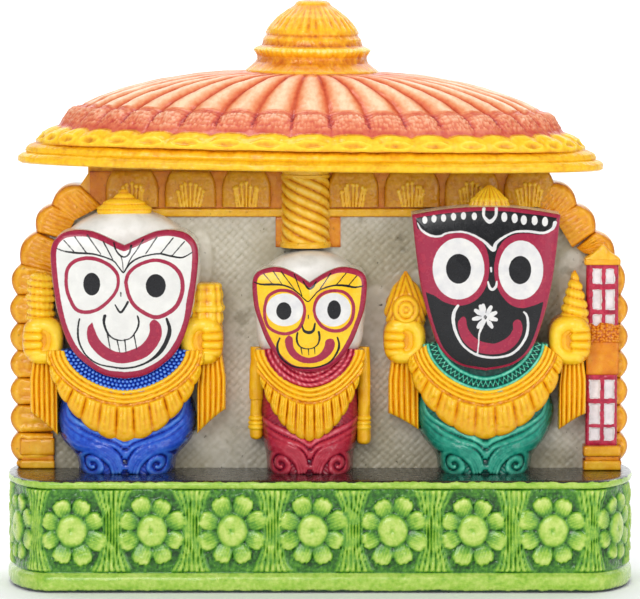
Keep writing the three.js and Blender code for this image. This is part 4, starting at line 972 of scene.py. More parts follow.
FACES = {
    "balabhadra": {
        "red": [
            ("ring", [(-14, 74.1), (-13.7, 76.7), (-12.2, 78.6), (-9.5, 79.5), (-6.7, 79.3), (-3.8, 78),
                      (-1.9, 76.1), (-1.4, 74.1), (-1.9, 71.7), (-3.8, 69.2), (-6.4, 67.2), (-9.2, 66.5),
                      (-11.6, 67.2), (-13, 69.5), (-13.8, 71.9)], [0.42, 0.48, 0.38, 0.46, 0.42]),
            ("ring", [(0.4, 73.7), (1, 75.7), (2.8, 77.5), (5.8, 78.8), (8.3, 79), (11.2, 78), (13.2, 76.1),
                      (14, 73.7), (13.8, 70.8), (12.4, 67.8), (9.8, 65.9), (7.4, 65.3), (4.9, 66.3),
                      (2.4, 68.2), (1, 70.8)], [0.44, 0.42, 0.5, 0.52, 0.48, 0.44]),
            ("area", [(-7.7, 64.1), (-8.9, 62.6), (-8.8, 59.6), (-7.1, 57), (-4.5, 55), (-1, 54.1), (2.5, 54.6),
                      (5.6, 55.9), (7.8, 58.3), (9, 61), (8.7, 63.4), (7.3, 64.7), (6.1, 63.8), (6, 61.4),
                      (4.3, 58.8), (1.7, 57.4), (-1, 56.8), (-3.6, 57.7), (-5.8, 59.6), (-7, 62)]),
        ],
        "white": [],
        "black": [
            ("line", [(-16.4, 81.9), (-14.4, 81.2), (-11.4, 80.8), (-7.9, 80.6), (-5.3, 80), (-2.6, 78.9),
                      (-1.3, 77.4), (-0.2, 76.1), (0.6, 77.2), (1.7, 78.5), (3.5, 79.6), (6.1, 80.3), (8.7, 80.6),
                      (11.4, 80), (14, 79.7), (16.4, 80.9)], [0.12, 0.26, 0.2, 0.16, 0.2, 0.22, 0.18, 0.24, 0.14]),
            ("line", [(-14.5, 83.8), (-12.2, 81.3)], [0.17, 0.12]),
            ("line", [(-11.9, 84.7), (-9.2, 81)], [0.18, 0.13]),
            ("line", [(-8.9, 85.1), (-5.6, 80.5)], [0.18, 0.13]),
            ("line", [(-5, 83.5), (-2.7, 79.2)], [0.18, 0.12]),
            ("line", [(-2.5, 83.2), (-1.8, 81.1), (-0.6, 79.5), (-0.2, 76.4)], [0.18, 0.15, 0.12, 0.1]),
            ("line", [(4.7, 84.1), (3.1, 81.6), (1.5, 79.3), (0.6, 77.2)], [0.18, 0.15, 0.13]),
            ("line", [(7.9, 84.6), (5.2, 80.6)], [0.18, 0.13]),
            ("line", [(11.8, 84.4), (9, 80.9)], [0.18, 0.13]),
            ("line", [(14.5, 83.5), (11.6, 80.2)], [0.18, 0.13]),
            ("line", [(-2.4, 82.2), (-1.3, 80.5), (0, 79.8), (1.2, 80.6), (1.7, 82.5)], [0.14, 0.22, 0.2, 0.24, 0.3]),
            ("line", [(-0.8, 71.3), (-0.8, 70.3)], [0.18, 0.12]),
            ("line", [(-2.2, 68.3), (-0.8, 66.5), (0.9, 69)], [0.16, 0.3, 0.28]),
            ("line", [(-4.7, 65.6), (-4.9, 64), (-4.2, 61.8), (-2.9, 60.3), (-0.7, 59.7), (1.5, 60.3), (3, 62.3),
                      (3.5, 64), (3.2, 65.6)], [0.42, 0.3, 0.22, 0.16, 0.18, 0.26, 0.2]),
            ("line", [(-4.1, 61.4), (-3.4, 57.4)], [0.2, 0.12]),
            ("line", [(-1.8, 59.9), (-1.1, 56.8)], [0.18, 0.12]),
            ("line", [(0.1, 59.9), (0.4, 56.6)], [0.18, 0.12]),
            ("line", [(2.3, 61.2), (3, 57.4)], [0.18, 0.12]),
            ("line", [(-10.8, 64.9), (-11.2, 62.3), (-10.9, 59.2), (-9.3, 56.1), (-6.7, 54.1), (-3.6, 53.3),
                      (-0.1, 52.9), (3.4, 53.5), (6.5, 55), (8.7, 57), (10.2, 59.6), (10.9, 62.3), (10.2, 64.9)],
             [0.2, 0.26, 0.2, 0.2, 0.24, 0.24, 0.5, 0.55, 0.3]),
            ("oval", (-7.8, 73.3), 2.05, 2.75), ("oval", (7.6, 72.9), 2.4, 2.83),
        ],
    },
    "subhadra": {
        "red": [
            ("ring", [(-10.8, 67.6), (-10.2, 69.9), (-8.8, 71.2), (-6.8, 71.8), (-4.3, 71.4), (-2.3, 69.8),
                      (-1.3, 67.6), (-1.4, 65.4), (-2.1, 63.3), (-3.4, 62), (-5.7, 61.3), (-8, 61.7), (-10, 63),
                      (-10.8, 65.4)], [0.38, 0.42, 0.38]),
            ("ring", [(1.1, 66.9), (1.5, 69), (2.5, 70.5), (4.4, 71.5), (6.5, 71.7), (8.5, 71.2), (10, 69.6),
                      (10.6, 67.6), (10.2, 64.8), (9.1, 63.1), (7.4, 62.1), (5.1, 62.1), (3, 63.1), (1.7, 64.9)],
             [0.42, 0.38, 0.44, 0.4]),
            ("area", [(-5, 61), (-5.9, 59.9), (-5.7, 58), (-4.6, 56), (-2.4, 54.5), (0.2, 54.1), (2.8, 54.7),
                      (5, 56.3), (6.1, 58.4), (5.7, 59.9), (4.6, 60.1), (3.8, 59.5), (3.5, 58), (2.2, 56.3),
                      (-0.2, 55.5), (-2.4, 56.3), (-3.8, 58), (-4.1, 60.2)]),
        ],
        "white": [("oval", (-6, 67.1), 4.45, 3.95), ("oval", (5.7, 67.1), 4.25, 4.05)],
        "black": [
            ("line", [(-13.4, 73.7), (-11.6, 73.2), (-9, 73.2), (-6.8, 73.1), (-4.6, 72.4), (-2.7, 71.1),
                      (-1.4, 69.8), (-0.3, 69.1), (0.8, 70.2), (2.2, 71.7), (4.3, 72.6), (6.5, 73), (8.7, 72.9),
                      (10.9, 72.5), (12.9, 72.8)], [0.14, 0.28, 0.2, 0.15, 0.14, 0.16, 0.2, 0.3, 0.14]),
            ("line", [(-11.1, 75.8), (-9.1, 73.5)], [0.15, 0.1]),
            ("line", [(-8.8, 76.4), (-6.6, 73.2)], [0.15, 0.1]),
            ("line", [(-6.8, 76.2), (-3.7, 72.1)], [0.15, 0.1]),
            ("line", [(-3.7, 75.6), (-1.8, 70.5)], [0.15, 0.1]),
            ("line", [(5.1, 75.9), (2.2, 71.6)], [0.16, 0.14]),
            ("line", [(8.8, 75.9), (6.3, 72.9)], [0.15, 0.12]),
            ("line", [(11.3, 75.2), (9.3, 72.9)], [0.15, 0.12]),
            ("line", [(-1.6, 74), (-0.8, 72.7), (0, 72.1), (0.9, 72.7), (1.6, 73.9)], [0.14, 0.2, 0.26, 0.3, 0.16]),
            ("line", [(-0.3, 65.8), (-0.3, 64.9)], [0.16, 0.1]),
            ("line", [(-1.8, 63.5), (-1.4, 62.1), (-0.2, 61.6), (0.9, 62.1), (1.3, 63.8)], [0.14, 0.3, 0.4, 0.34, 0.2]),
            ("line", [(-2.9, 61.5), (-3.1, 59.9), (-2.5, 58.4), (-1.1, 57.7), (0.6, 57.8), (1.9, 58.7), (2.4, 60.2),
                      (2.2, 61.7)], [0.24, 0.26, 0.16, 0.14, 0.14, 0.24, 0.3]),
            ("line", [(-2.1, 58), (-1.8, 56.3)], [0.14, 0.1]),
            ("line", [(-0.3, 57.7), (-0.2, 56.1)], [0.14, 0.1]),
            ("line", [(1.2, 57.9), (1.3, 56.3)], [0.14, 0.1]),
            ("line", [(-7.2, 60.2), (-7.8, 58.4), (-7.3, 56.1), (-5.7, 54.3), (-3.5, 53.2), (-0.5, 52.9), (2.4, 53.3),
                      (5, 54.5), (6.7, 56.9), (7.1, 58.7), (6.7, 60.4)], [0.2, 0.3, 0.22, 0.2, 0.2, 0.22, 0.3, 0.2]),
            ("oval", (-6.2, 66.8), 1.84, 2.13), ("oval", (5.9, 67.1), 1.65, 2.3),
        ],
    },
    "jagannath": {
        "red": [
            ("area", [(-17.3, 86.8), (-15.6, 86.2), (-13.4, 84.8), (-11.1, 84.5), (-9.3, 85.3), (-6.1, 85.6),
                      (-3.4, 84.9), (-1, 83.5), (0.3, 80.8), (0.7, 77.1), (0.1, 73.2), (-1.5, 70.4), (-3.8, 68.7),
                      (-6.8, 68.1), (-10, 68.9), (-12.3, 70.4), (-15.2, 72.2), (-16.2, 78)]),
            ("area", [(2.7, 81.7), (4.4, 84), (7, 85.3), (10, 85.5), (13.6, 85.2), (17.3, 86.6), (16.9, 79.9),
                      (16, 73.4), (15.1, 69.7), (13.7, 69), (11.4, 68.1), (8.6, 67.5), (5.9, 68.3), (3.6, 70.7),
                      (2.2, 73.9), (1.9, 78)]),
            ("area", [(-5.6, 65.5), (-6.8, 64), (-6.3, 61), (-4.7, 58.6), (-1.9, 56.8), (1.8, 56.3), (5, 57),
                      (7.5, 59.1), (8.7, 61.9), (8.4, 64.2), (7.4, 64.7), (6.5, 64), (6.4, 62.3), (5.2, 60.5),
                      (2.7, 59.1), (0.8, 59), (-1.5, 59.6), (-3.3, 61), (-4.5, 62.8), (-4.9, 65)]),
        ],
        "white": [
            ("line", [(-16.6, 88.1), (-15.6, 86.3), (-13.5, 85), (-11.2, 84.8), (-9.4, 85.6), (-6.1, 85.9),
                      (-3.4, 85.2), (-0.6, 83.6), (1.6, 81.6), (2.3, 83.1), (4, 84.5), (6.7, 85.8), (10, 86),
                      (13.6, 85.6), (15.9, 86.6), (16.5, 88)],
             [0.1, 0.3, 0.26, 0.22, 0.24, 0.28, 0.5, 0.3, 0.24, 0.3, 0.3, 0.5]),
            ("line", [(-0.6, 91.4), (-0.6, 89.6), (0.8, 88.3), (2.2, 89.6), (2.4, 91.4)], [0.4, 0.3, 0.5, 0.32, 0.4]),
            ("line", [(1.1, 77.2), (1.2, 76.3)], [0.26, 0.2]),
            ("line", [(0.4, 73.9), (0.8, 72.5), (1.5, 72), (2.3, 72.7), (2.5, 73.9)], [0.2, 0.3, 0.34, 0.3, 0.2]),
            ("line", [(-6.8, 68.1), (-7.7, 66.5), (-7.9, 64.2), (-7.2, 61.4), (-5.6, 58.6), (-3.3, 56.7), (-1, 55.8),
                      (2.2, 55.5), (5.5, 56.1), (7.8, 57.7), (9.6, 60.5), (10.1, 63.3), (9.8, 65.6), (9.1, 66.5)],
             [0.3, 0.44, 0.34, 0.26, 0.3, 0.26, 0.3, 0.34, 0.28, 0.24]),
            ("line", [(-0.5, 64.3), (-1.1, 62.8), (-1.7, 61.2), (-1.8, 59.1), (-2.1, 56)], [0.42, 0.34, 0.2, 0.15, 0.18]),
            ("oval", (-6.7, 77), 6.2, 7.4), ("oval", (8.3, 76.7), 5.4, 7.1),
            *[("oval", (x, z), 0.62, 0.9) for x, z in [(-14.8, 88.7), (-12.6, 89), (-10.3, 89.2), (-7.9, 89.5),
                                                      (-5.5, 89.7), (-2.9, 89.6)]],
            *[("oval", (x, z), 0.72, 1.15) for x, z in [(4.3, 89.4), (6.8, 89.1), (9, 88.7), (11.6, 88.6),
                                                       (14.1, 88.3)]],
            *[("line", [(-0.3 + 0.9 * math.sin(a), 65.3 + 0.9 * math.cos(a)),
                        (-0.3 + 2.75 * math.sin(a), 65.3 + 2.9 * math.cos(a))], [0.22, 0.55, 0.42])
              for a in np.radians([-9, 31, 68, 101, 143, 216, 262, 305, 336])],
            ("ring", [(-1, 65.3), (-0.3, 66.1), (0.5, 65.3), (-0.3, 64.5)], [0.24, 0.24]),
            ("oval", (-0.3, 65.3), 0.18, 0.18),
        ],
        "black": [("oval", (-6.7, 77), 3, 3.6), ("oval", (8.1, 76.7), 2.7, 3.4)],
    },
}


def marked(x, z, marks):
    """How far each point is outside all the marks of one colour, negative inside one."""
    best = np.full(np.shape(x), 9.0)
    for kind, points, *sizes in marks:
        if kind == "line":
            apart = stroke(x, z, points, *sizes)
        elif kind == "ring":
            apart = stroke(x, z, [*points, points[0]], *sizes)
        elif kind == "area":
            apart = area(x, z, points)
        else:
            apart = oval(x, z, points, *sizes)
        best = np.minimum(best, apart)
    return best


def mask_outline(spec, columns):
    """The mask's outline around, from the top of its middle, in millimetres from the figure's middle."""
    if spec["sharp"]:
        half = np.concatenate([curve(spec["mask_top"]), curve(spec["mask_side"])[1:]])
    else:
        half = curve(spec["mask_top"] + spec["mask_side"][1:])
    whole = np.concatenate([half, (half * [-1, 1])[-2::-1]])
    return evenly(whole, columns + 1)[:-1]


def drawn_in(outline, centre, rows):
    """Rings of an outline, each drawn in towards the centre by a size, at a depth."""
    sizes, depths = (np.array(part)[:, None] for part in zip(*rows))
    place = np.array(centre) + (outline[None] - centre) * sizes[:, :, None]
    return np.stack([place[..., 0], depths + 0 * place[..., 0], place[..., 1]], -1)


def mask(cast, name, spec):
    columns = 430
    outline = mask_outline(spec, columns)
    sizes = np.concatenate([np.linspace(0.012, 0.93, 58), 1 - 0.07 * (1 - np.linspace(0.12, 1, 9)) ** 2.2])
    face = [(size, MASK_EDGE - MASK_CROWN * (1 - size**3) ** 0.34) for size in sizes]
    sides = [(1, y) for y in (-10.5, -10, -9, -6, -3, 0, 2.6)] + [(0.985, FIGURE_BACK)]
    rings = drawn_in(outline, (0, spec["centre"]), face + sides)
    x, y, z = np.moveaxis(rings, -1, 0)
    marks = FACES[name]
    closed = np.concatenate([outline, outline[:1]])
    edge, _ = from_line(x[:len(face)], z[:len(face)], closed)
    wide = spec["border"][1] + (spec["border"][0] - spec["border"][1]) * ease(52, 64, z[:len(face)])
    wide = wide * (1 + 0.14 * drift(x[:len(face)], z[:len(face)], 5, 3))
    values = {}
    for paint in ("red", "white", "black"):
        near = marked(x[:len(face)], z[:len(face)], marks[paint])
        values[paint] = np.concatenate([near, np.full((len(sides), columns), 9.0)])
    side_red = y[len(face):] - MASK_EDGE - 0.5 + 0.3 * drift(x[len(face):], z[len(face):], 4)
    inner = -values["red"][:len(face)]
    heat = np.concatenate([0.5 + 0.5 * ease(0.05, 0.5, inner), np.zeros((len(sides), columns))])
    values["red"] = np.concatenate([np.minimum(values["red"][:len(face)], edge - wide), side_red])
    backing = np.concatenate([np.zeros(x[:len(face)].shape), np.ones((len(sides), columns))])
    low = ease(62, 54, z)
    rings[..., 0] += spec["x"]
    cast.loft(rings, 0, heat=np.clip(heat - 0.25 * low, 0, 1), backing=backing, **values)


def head(cast, spec):
    half_width, middle, top = spec["head"]
    angle = np.radians(np.linspace(0, 180, 25))
    over = np.stack([half_width * np.cos(angle), middle + (top - middle) * np.sin(angle)], -1)
    under = [(-0.97 * half_width, middle - 5), (-0.82 * half_width, middle - 13), (0, middle - 18),
             (0.82 * half_width, middle - 13), (0.97 * half_width, middle - 5)]
    outline = evenly(curve([*over, *under, over[0]], 6), 261)[:-1]
    rows = [(1, 3), (1, 0), (0.998, -2), (0.99, -4), (0.975, -5.4), (0.95, -6.6), (0.91, -7.6), (0.85, -8.4),
            (0.77, -9), (0.65, -9.4), (0.45, -9.6), (0.1, -9.6)]
    rings = drawn_in(outline, (0, middle - 2), rows)
    rings[..., 1] += 0.12 * drift(rings[..., 0], rings[..., 2], 4, 2)
    rings[..., 0] += spec["x"]
    cast.loft(rings, 1)


def mask_paint(name, stops):
    """The base colour with red, white and black brushed over it in that order."""
    paint = Paint(name, coat=0.25)
    wobble = paint.math("MULTIPLY", paint.math("SUBTRACT", paint.noise(0.6, 3), 0.5), 0.16)

    def cover(value_name):
        return paint.spread(paint.math("ADD", paint.value(value_name), wobble), 0.06, -0.06)

    base = paint.ramp(paint.noise(3.5, 4), stops)
    streaks = paint.math("MULTIPLY", paint.math("SUBTRACT", paint.noise(1.6, 4), 0.5), 0.5)
    red = paint.ramp(paint.math("ADD", paint.value("heat"), streaks),
                     [(0, "9c2040"), (0.3, "bd2840"), (0.6, "cc2a2c"), (1, "dc3418")])
    white = paint.ramp(paint.noise(2.5, 3), [(0.3, "d3d2d2"), (0.7, "e6e4df")])
    black = paint.ramp(paint.noise(2, 3), [(0.3, "060609"), (0.75, "101015")])
    plain = paint.ramp(paint.noise(3, 3), [(0.3, "d6d3c8"), (0.7, "e9e6dd")])
    base = paint.mix(paint.value("backing"), base, plain)
    for value_name, over in (("red", red), ("white", white), ("black", black)):
        base = paint.mix(cover(value_name), base, over)
    return paint.finish(base, gloss=(0.17, 0.32), grain=0.7, depth=0.035)


def head_paint():
    paint = Paint("head_white")
    base = paint.ramp(paint.noise(4, 4), [(0.25, "cfccc3"), (0.5, "e3e1da"), (0.8, "efede8")])
    return paint.finish(base, gloss=(0.25, 0.45), grain=0.8, depth=0.06)


def bow(side_reach, spec, share=1.0):
    """A hanging curve at places from -1 to 1 across: its half width, top and bottom are given."""
    half_width, top, bottom = spec
    droop = np.clip(1 - np.abs(side_reach) ** 1.75, 0, None) ** (1 / 1.75)
    return np.stack([half_width * side_reach, top - (top - bottom) * droop * share], -1)


def hanging_band(spec, inner, outer, columns, rows, scallop=None):
    """A grid between two hanging curves, with how far along and across it each point lies, in mm."""
    turn = np.linspace(-math.pi / 2, math.pi / 2, columns)
    near, far = bow(np.sin(turn), inner), bow(np.sin(turn), outer)
    if scallop is not None:
        out = far - near
        far = far + out / np.linalg.norm(out, axis=1)[:, None] * scallop(np.linspace(0, 1, columns))[:, None]
    v = np.linspace(0, 1, rows)[:, None, None]
    place = near + (far - near) * v
    steps = np.linalg.norm(np.diff((near + far) / 2, axis=0), axis=1)
    along = np.concatenate([[0], np.cumsum(steps)])
    wide = np.linalg.norm(far - near, axis=1)
    x, z = spec["x"] + place[..., 0], place[..., 1]
    return x, z, along[None] - along[-1] / 2 + 0 * x, v[:, :, 0] * wide[None], wide[None] + 0 * x


def dress_front(spec, x):
    """The bib's front recedes towards the shoulders."""
    return DRESS_FRONT + 2.4 * np.abs((x - spec["x"]) / 18) ** 2.4


def weave_relief(kind, along, down):
    """Carving of the collar. down is the distance from its lower edge."""
    if kind == "ropes":
        ropes = np.abs(np.sin(down * math.pi / 1.25)) ** 0.7
        return 0.62 * ropes * (0.85 + 0.15 * np.cos(along * 5 + down * 3))
    rim = 0.6 * hump(down - 0.35, 0.42)
    if kind == "beads":
        rows = [(1.3, 0.0), (2.25, 0.5), (3.2, 0.0), (4.15, 0.5)]
        beads = [hump(np.hypot((along / 0.98 + shift) % 1 - 0.5, (down - middle) * 0.95), 0.47) for middle, shift in rows]
        return np.maximum(rim, 0.62 * np.max(beads, axis=0))
    second = 0.55 * hump(down - 1.25, 0.42)
    saw = np.abs((along / 1.15) % 1 - 0.5) * 2
    zigzag = 0.6 * hump(down - 1.95 - 1.3 * saw, 0.42)
    top = 0.55 * hump(down - 3.9, 0.5)
    return np.max([rim, second, zigzag, top], axis=0)


def collar(cast, spec):
    half_width, top, bottom = spec["collar"]
    inner = (half_width - 5.2, top + 0.6, bottom + 6)
    x, z, along, across, wide = hanging_band(spec, inner, spec["collar"], 250, 30)
    down = wide - across
    carved = weave_relief(spec["weave"], along, down) + 0.06 * drift(along, down, 0.5, 4)
    edge = 0.7 * np.clip(1 - down / 0.4, 0, 1) ** 2
    front = dress_front(spec, x) + 0.9 - carved + edge
    relief = np.clip(1.45 * carved + 0.05, 0, 1)
    cast.slab(np.stack([x, front, z], -1), -4, 0, relief=relief, shade=0.0)


def necklace(cast, spec):
    half_width, top, bottom = spec["collar"]
    leaves = spec["leaves"]

    def scallop(t):
        share = np.abs(((t * leaves) % 1) - 0.5) * 2
        return 0.75 * np.sqrt(np.clip(1 - share**2, 0, None)) - 0.35

    inner = (half_width - 1, top, bottom + 1.2)
    x, z, along, across, wide = hanging_band(spec, inner, spec["necklace"], 330, 56, scallop)
    t = np.linspace(0, 1, x.shape[1])[None] + 0 * x
    ropes = 0.6 * np.abs(np.cos((across - 0.55) * math.pi / 1.2)) ** 0.8 * ease(3.7, 3.1, across)
    fine = 0.3 * hump(across - 3.75, 0.3)
    w = (t * leaves) % 1 - 0.5
    past = np.clip((across - 4) / np.maximum(wide - 4, 0.5), 0, 1)
    dome = np.clip(1 - np.abs(2 * w) ** 2.6, 0, 1) ** 0.7
    pleats = 0.34 * np.abs(np.cos(w * math.pi * 3)) * ease(0.95, 0.5, past)
    number = np.floor(t * leaves).astype(int)
    curl = 0.4 * np.exp(-np.hypot((w - 0.16 * TABLE[number, 7]) / 0.22, (past - 0.3) / 0.16) ** 2)
    rim = np.clip(1 - past**7, 0, 1) ** 0.5
    leaf = (0.25 + 0.75 * dome + pleats * dome + curl) * rim * ease(3.7, 4.3, across)
    carved = np.maximum(np.maximum(ropes, fine), leaf) + 0.09 * drift(x, z, 0.8, 6)
    front = dress_front(spec, x) + 0.75 - 0.95 * carved
    relief = np.clip(worn(carved, 4, 1.0) * (0.55 + 0.45 * rim), 0, 1)
    deep = ease(0.75, 1, past) * 0.35
    cast.slab(np.stack([x, front, z], -1), -4, 2, relief=relief, shade=deep, warm=0.15 * ease(3, 5, across))


STRANDS = [
    [(15.4, 47), (15, 43), (13.8, 39.5), (10.5, 36.8), (6, 35), (2, 33.5), (-0.3, 30.5)],
    [(14.6, 44), (13.4, 41), (10.3, 38.5), (5.7, 36.7), (1.7, 35), (-0.3, 33)],
    [(15.8, 43), (14.8, 39.5), (12.5, 36.4), (9, 34.8), (5, 33.6), (2, 31.5), (0.6, 28.5)],
    [(15.6, 39), (14, 36), (11.5, 34.2), (8, 33.4), (4.5, 32), (2.4, 29.8), (1.6, 27.5)],
    [(14.4, 34.8), (12, 33.1), (9, 32.6), (6, 31.6), (4, 29.6), (3.2, 27.3)],
]
SPIRAL = {"centre": (8.4, 29.2), "outer": 3.5, "inner": 0.6, "turns": 1.7}


def strand_paths():
    paths = [evenly(curve(points), 22) for points in STRANDS]
    between = [(paths[k] + paths[k + 1]) / 2 for k in (2, 3)]
    turn = np.linspace(0, 1, 30)
    reach = SPIRAL["outer"] + (SPIRAL["inner"] - SPIRAL["outer"]) * turn
    angle = 2.6 - turn * 2 * math.pi * SPIRAL["turns"]
    spiral = np.stack([SPIRAL["centre"][0] + 1.1 * reach * np.cos(angle), SPIRAL["centre"][1] + reach * np.sin(angle)], -1)
    return [*paths, *between, spiral]


def skirt(cast, spec):
    columns, rows = 250, 84
    heights, halves = np.array(spec["skirt"]).T
    z = np.linspace(27, 47, rows)[:, None]
    smooth = curve(np.stack([heights, halves], -1))
    half = np.interp(z, smooth[:, 0], smooth[:, 1])
    angle = np.linspace(-math.pi / 2, math.pi / 2, columns)[None]
    u = np.sign(angle) * np.abs(np.sin(angle)) ** (2 / 3)
    deep = np.abs(np.cos(angle)) ** (2 / 3)
    x = u * half
    plain = x * 16.4 / half * np.clip(half / 16.4, 0.78, 1)
    strands = np.zeros(x.shape)
    for path in strand_paths():
        distance, along = from_line(np.abs(plain) + 0.25 * drift(x, z, 4, 2), z + 0 * x, path)
        width = 0.72 * (0.75 + 0.5 * np.sin(math.pi * np.clip(along, 0.05, 1)))
        strands = np.maximum(strands, hump(distance, width))
    fine = 0.16 * np.abs(np.sin((np.abs(plain) * 0.6 + z * 0.9) * 3.3)) * (strands < 0.1)
    carved = 0.85 * strands + fine + 0.08 * drift(x, z, 0.9, 8)
    y = FIGURE_BACK - (11.4 + 2 * ease(38, 33, z)) * deep - carved * deep * ease(1, 0.9, np.abs(u))
    relief = np.clip(worn(carved, 4, 0.95), 0, 1)
    # Painted shade where the skirt turns back to the wall and along its foot.
    dark = ease(0.8, 1, np.abs(u)) * 0.6 + ease(28.2, 27, z) * 0.5
    x = x + spec["x"]
    cast.slab(np.stack([x, y, z + 0 * x], -1), FIGURE_BACK + 0.1, 1, relief=relief, shade=np.clip(dark, 0, 1))


def cloth_paint(name, stops, mottle=0.3):
    # The shade tint is painted shade, dark at the skirt's sides and foot.
    return brushed(name, stops, [("shade", "2c2c3a")], mottle=mottle, gloss=(0.14, 0.3))


PALM = [(2.2, 4.3), (-0.6, 4.5), (-3.2, 3), (-4, 0.4), (-3.4, -2.6), (-1.4, -4.2), (1.6, -4.4)]


def hand(cast, spec, place):
    dx, middle, half_width, half_height, outer = place
    angle = np.linspace(0, 2 * math.pi, 170, endpoint=False)
    square = 2 / 2.7
    reach_x = (half_width + 0.25) * np.sign(np.cos(angle)) * np.abs(np.cos(angle)) ** square
    reach_z = (half_height + 0.25) * np.sign(np.sin(angle)) * np.abs(np.sin(angle)) ** square
    outline = np.stack([reach_x, reach_z], -1)
    sizes = np.concatenate([np.linspace(0.02, 0.9, 30), np.linspace(0.92, 1, 6)])
    rows = [(size, -4.6) for size in sizes] + [(1, y) for y in (-3.6, -1, 1.5, FIGURE_BACK)]
    rings = drawn_in(outline, (0, 0), rows)
    out, up = outer * rings[..., 0], rings[..., 2].copy()
    size = np.array([row[0] for row in rows])[:, None]
    crown = 1.9 * (1 - size**3) ** 0.45
    palm_distance, _ = from_line(out, up, curve(PALM))
    palm = 1.5 * hump(palm_distance, 2.1)
    inner_line = 0.3 * hump(from_line(out, up, curve([(p * 0.52 + 0.5, q * 0.6) for p, q in PALM]))[0], 0.6)
    fingers = np.zeros(out.shape)
    for rise in (3.15, 1.05, -1.05, -3.15):
        finger = from_line(out, up, [(0.9, rise * 0.93), (4.4, rise)])[0]
        fingers = np.maximum(fingers, 1.35 * hump(finger, 1.08))
    carved = np.maximum(np.maximum(palm, fingers), 0.25 + inner_line) * np.clip(1 - size**9, 0, 1) ** 0.5
    front = size < 1
    uneven = 0.07 * drift(out, up, 1, 3)
    rings[..., 1] -= np.where(front & (np.arange(len(rows)) < len(sizes))[:, None], crown + carved + uneven, 0)
    relief = np.clip(0.12 + 0.62 * carved, 0, 1)
    rings[..., 0] += spec["x"] + dx
    rings[..., 2] += middle
    cast.loft(rings, 0, relief=relief, warm=0.2 * ease(1, 3, out), shade=0.0)


def sleeve(cast, spec, edges):
    outer, inner, outer_low, inner_low = edges
    u, v = np.linspace(0, 1, 76)[None], np.linspace(0, 1, 76)[:, None]
    top = 56.5
    low = outer_low + (inner_low - outer_low) * u ** 1.2
    middle = (outer + inner) / 2
    wide = 0.72 + 0.28 * np.clip(v * 2.2, 0, 1)
    x = middle + ((outer + (inner - outer) * u) - middle) * wide
    z = top + (low - top) * v
    bend = u + 0.04 * np.sin(v * 3) * (1 - u)
    pleats = 0.95 * (1 - np.abs(2 * ((bend * 5.5) % 1) - 1) ** 2.2)
    rim = np.clip(1 - np.abs(2 * u - 1) ** 14, 0, 1) ** 0.5 * np.clip(1 - v**30, 0, 1) ** 0.5
    carved = (pleats + 0.1 * drift(x * 2, z, 1.4, 5)) * (0.75 + 0.25 * v)
    front = -3.5 - (0.6 + carved) * rim
    relief = np.clip(0.12 + 0.8 * pleats + 0 * z, 0, 1)
    front_points = np.stack([spec["x"] + x, front, z + 0 * x], -1)
    cast.slab(front_points, FIGURE_BACK, 0, relief=relief, warm=0.35, shade=0.0)


def held_carving(kind, angle, x, z):
    if kind == "coil":
        rings = np.abs(np.sin((z + 0.35 * np.cos(angle)) * math.pi / 1.75)) ** 0.8
        return 0.55 * rings + 0.12 * np.abs(np.cos(angle * 7))
    if kind == "block":
        return 0.4 * np.abs(np.cos(angle * 5)) + 0.35 * hump(z - 66.6, 0.8) + 0.3 * np.abs(np.sin(z * 1.1))
    if kind == "disc":
        distance = np.hypot(x, (z - 66.6) * 0.95)
        circles = np.abs(np.cos(distance * math.pi / 1.35)) ** 0.8 * ease(3.6, 3.2, distance)
        flame = 0.45 * np.abs(np.cos((np.abs(x) + (z - 70) * 0.35) * 2.6)) * ease(3.3, 3.8, distance)
        return 0.55 * circles + flame + 0.4 * hump(z - 62.6, 0.5)
    if kind == "conch":
        slant = z + 0.22 * x
        return 0.55 * np.abs(np.sin(slant * math.pi / 2.1)) ** 0.7 + 0.1 * np.abs(np.cos(angle * 6))
    bangles = 0.35 * np.max([hump(z - low, 0.5) for low in (37.6, 38.7, 39.8)], axis=0)
    return bangles + 0.12 * drift(angle * 2, z, 2, 3)


def upright(cast, spec, kind, dx, rows):
    heights, halves = np.array(rows, float).T
    angle = np.linspace(0, 2 * math.pi, 84, endpoint=False)[None]
    z = np.linspace(heights[0], heights[-1], int((heights[-1] - heights[0]) / 0.2))[:, None]
    smooth = curve(np.stack([heights, halves], -1))
    half = np.interp(z, smooth[:, 0], smooth[:, 1])
    square = 0.75 if kind == "block" else 1
    across = np.sign(np.cos(angle)) * np.abs(np.cos(angle)) ** square
    deep = np.sign(np.sin(angle)) * np.abs(np.sin(angle)) ** square
    x = half * across
    carved = held_carving(kind, angle, x, z) * np.clip(half / 1.5, 0, 1)
    size = 1 + (carved - 0.3) / np.maximum(half, 0.8)
    points = np.stack([spec["x"] + dx + x * size, -2.4 + half * 1.1 * deep * size, z + 0 * x], -1)
    relief = np.clip(0.1 + 1.3 * carved if kind != "arm" else 0.55 + carved, 0, 1)
    cast.loft(points, 0, relief=relief, warm=0.1, shade=0.0)
    web_z = np.linspace(heights[0], heights[-2], 40)[:, None]
    web_x = np.linspace(-0.75, 0.75, 8)[None] * np.interp(web_z, smooth[:, 0], smooth[:, 1])
    web = np.stack([spec["x"] + dx + web_x + 0 * web_z, -2.4 + 0 * (web_x + web_z), web_z + 0 * web_x], -1)
    # The web behind what is held gets a little painted shade.
    cast.slab(web, FIGURE_BACK, 0, relief=0.45, warm=0.2, shade=0.1)


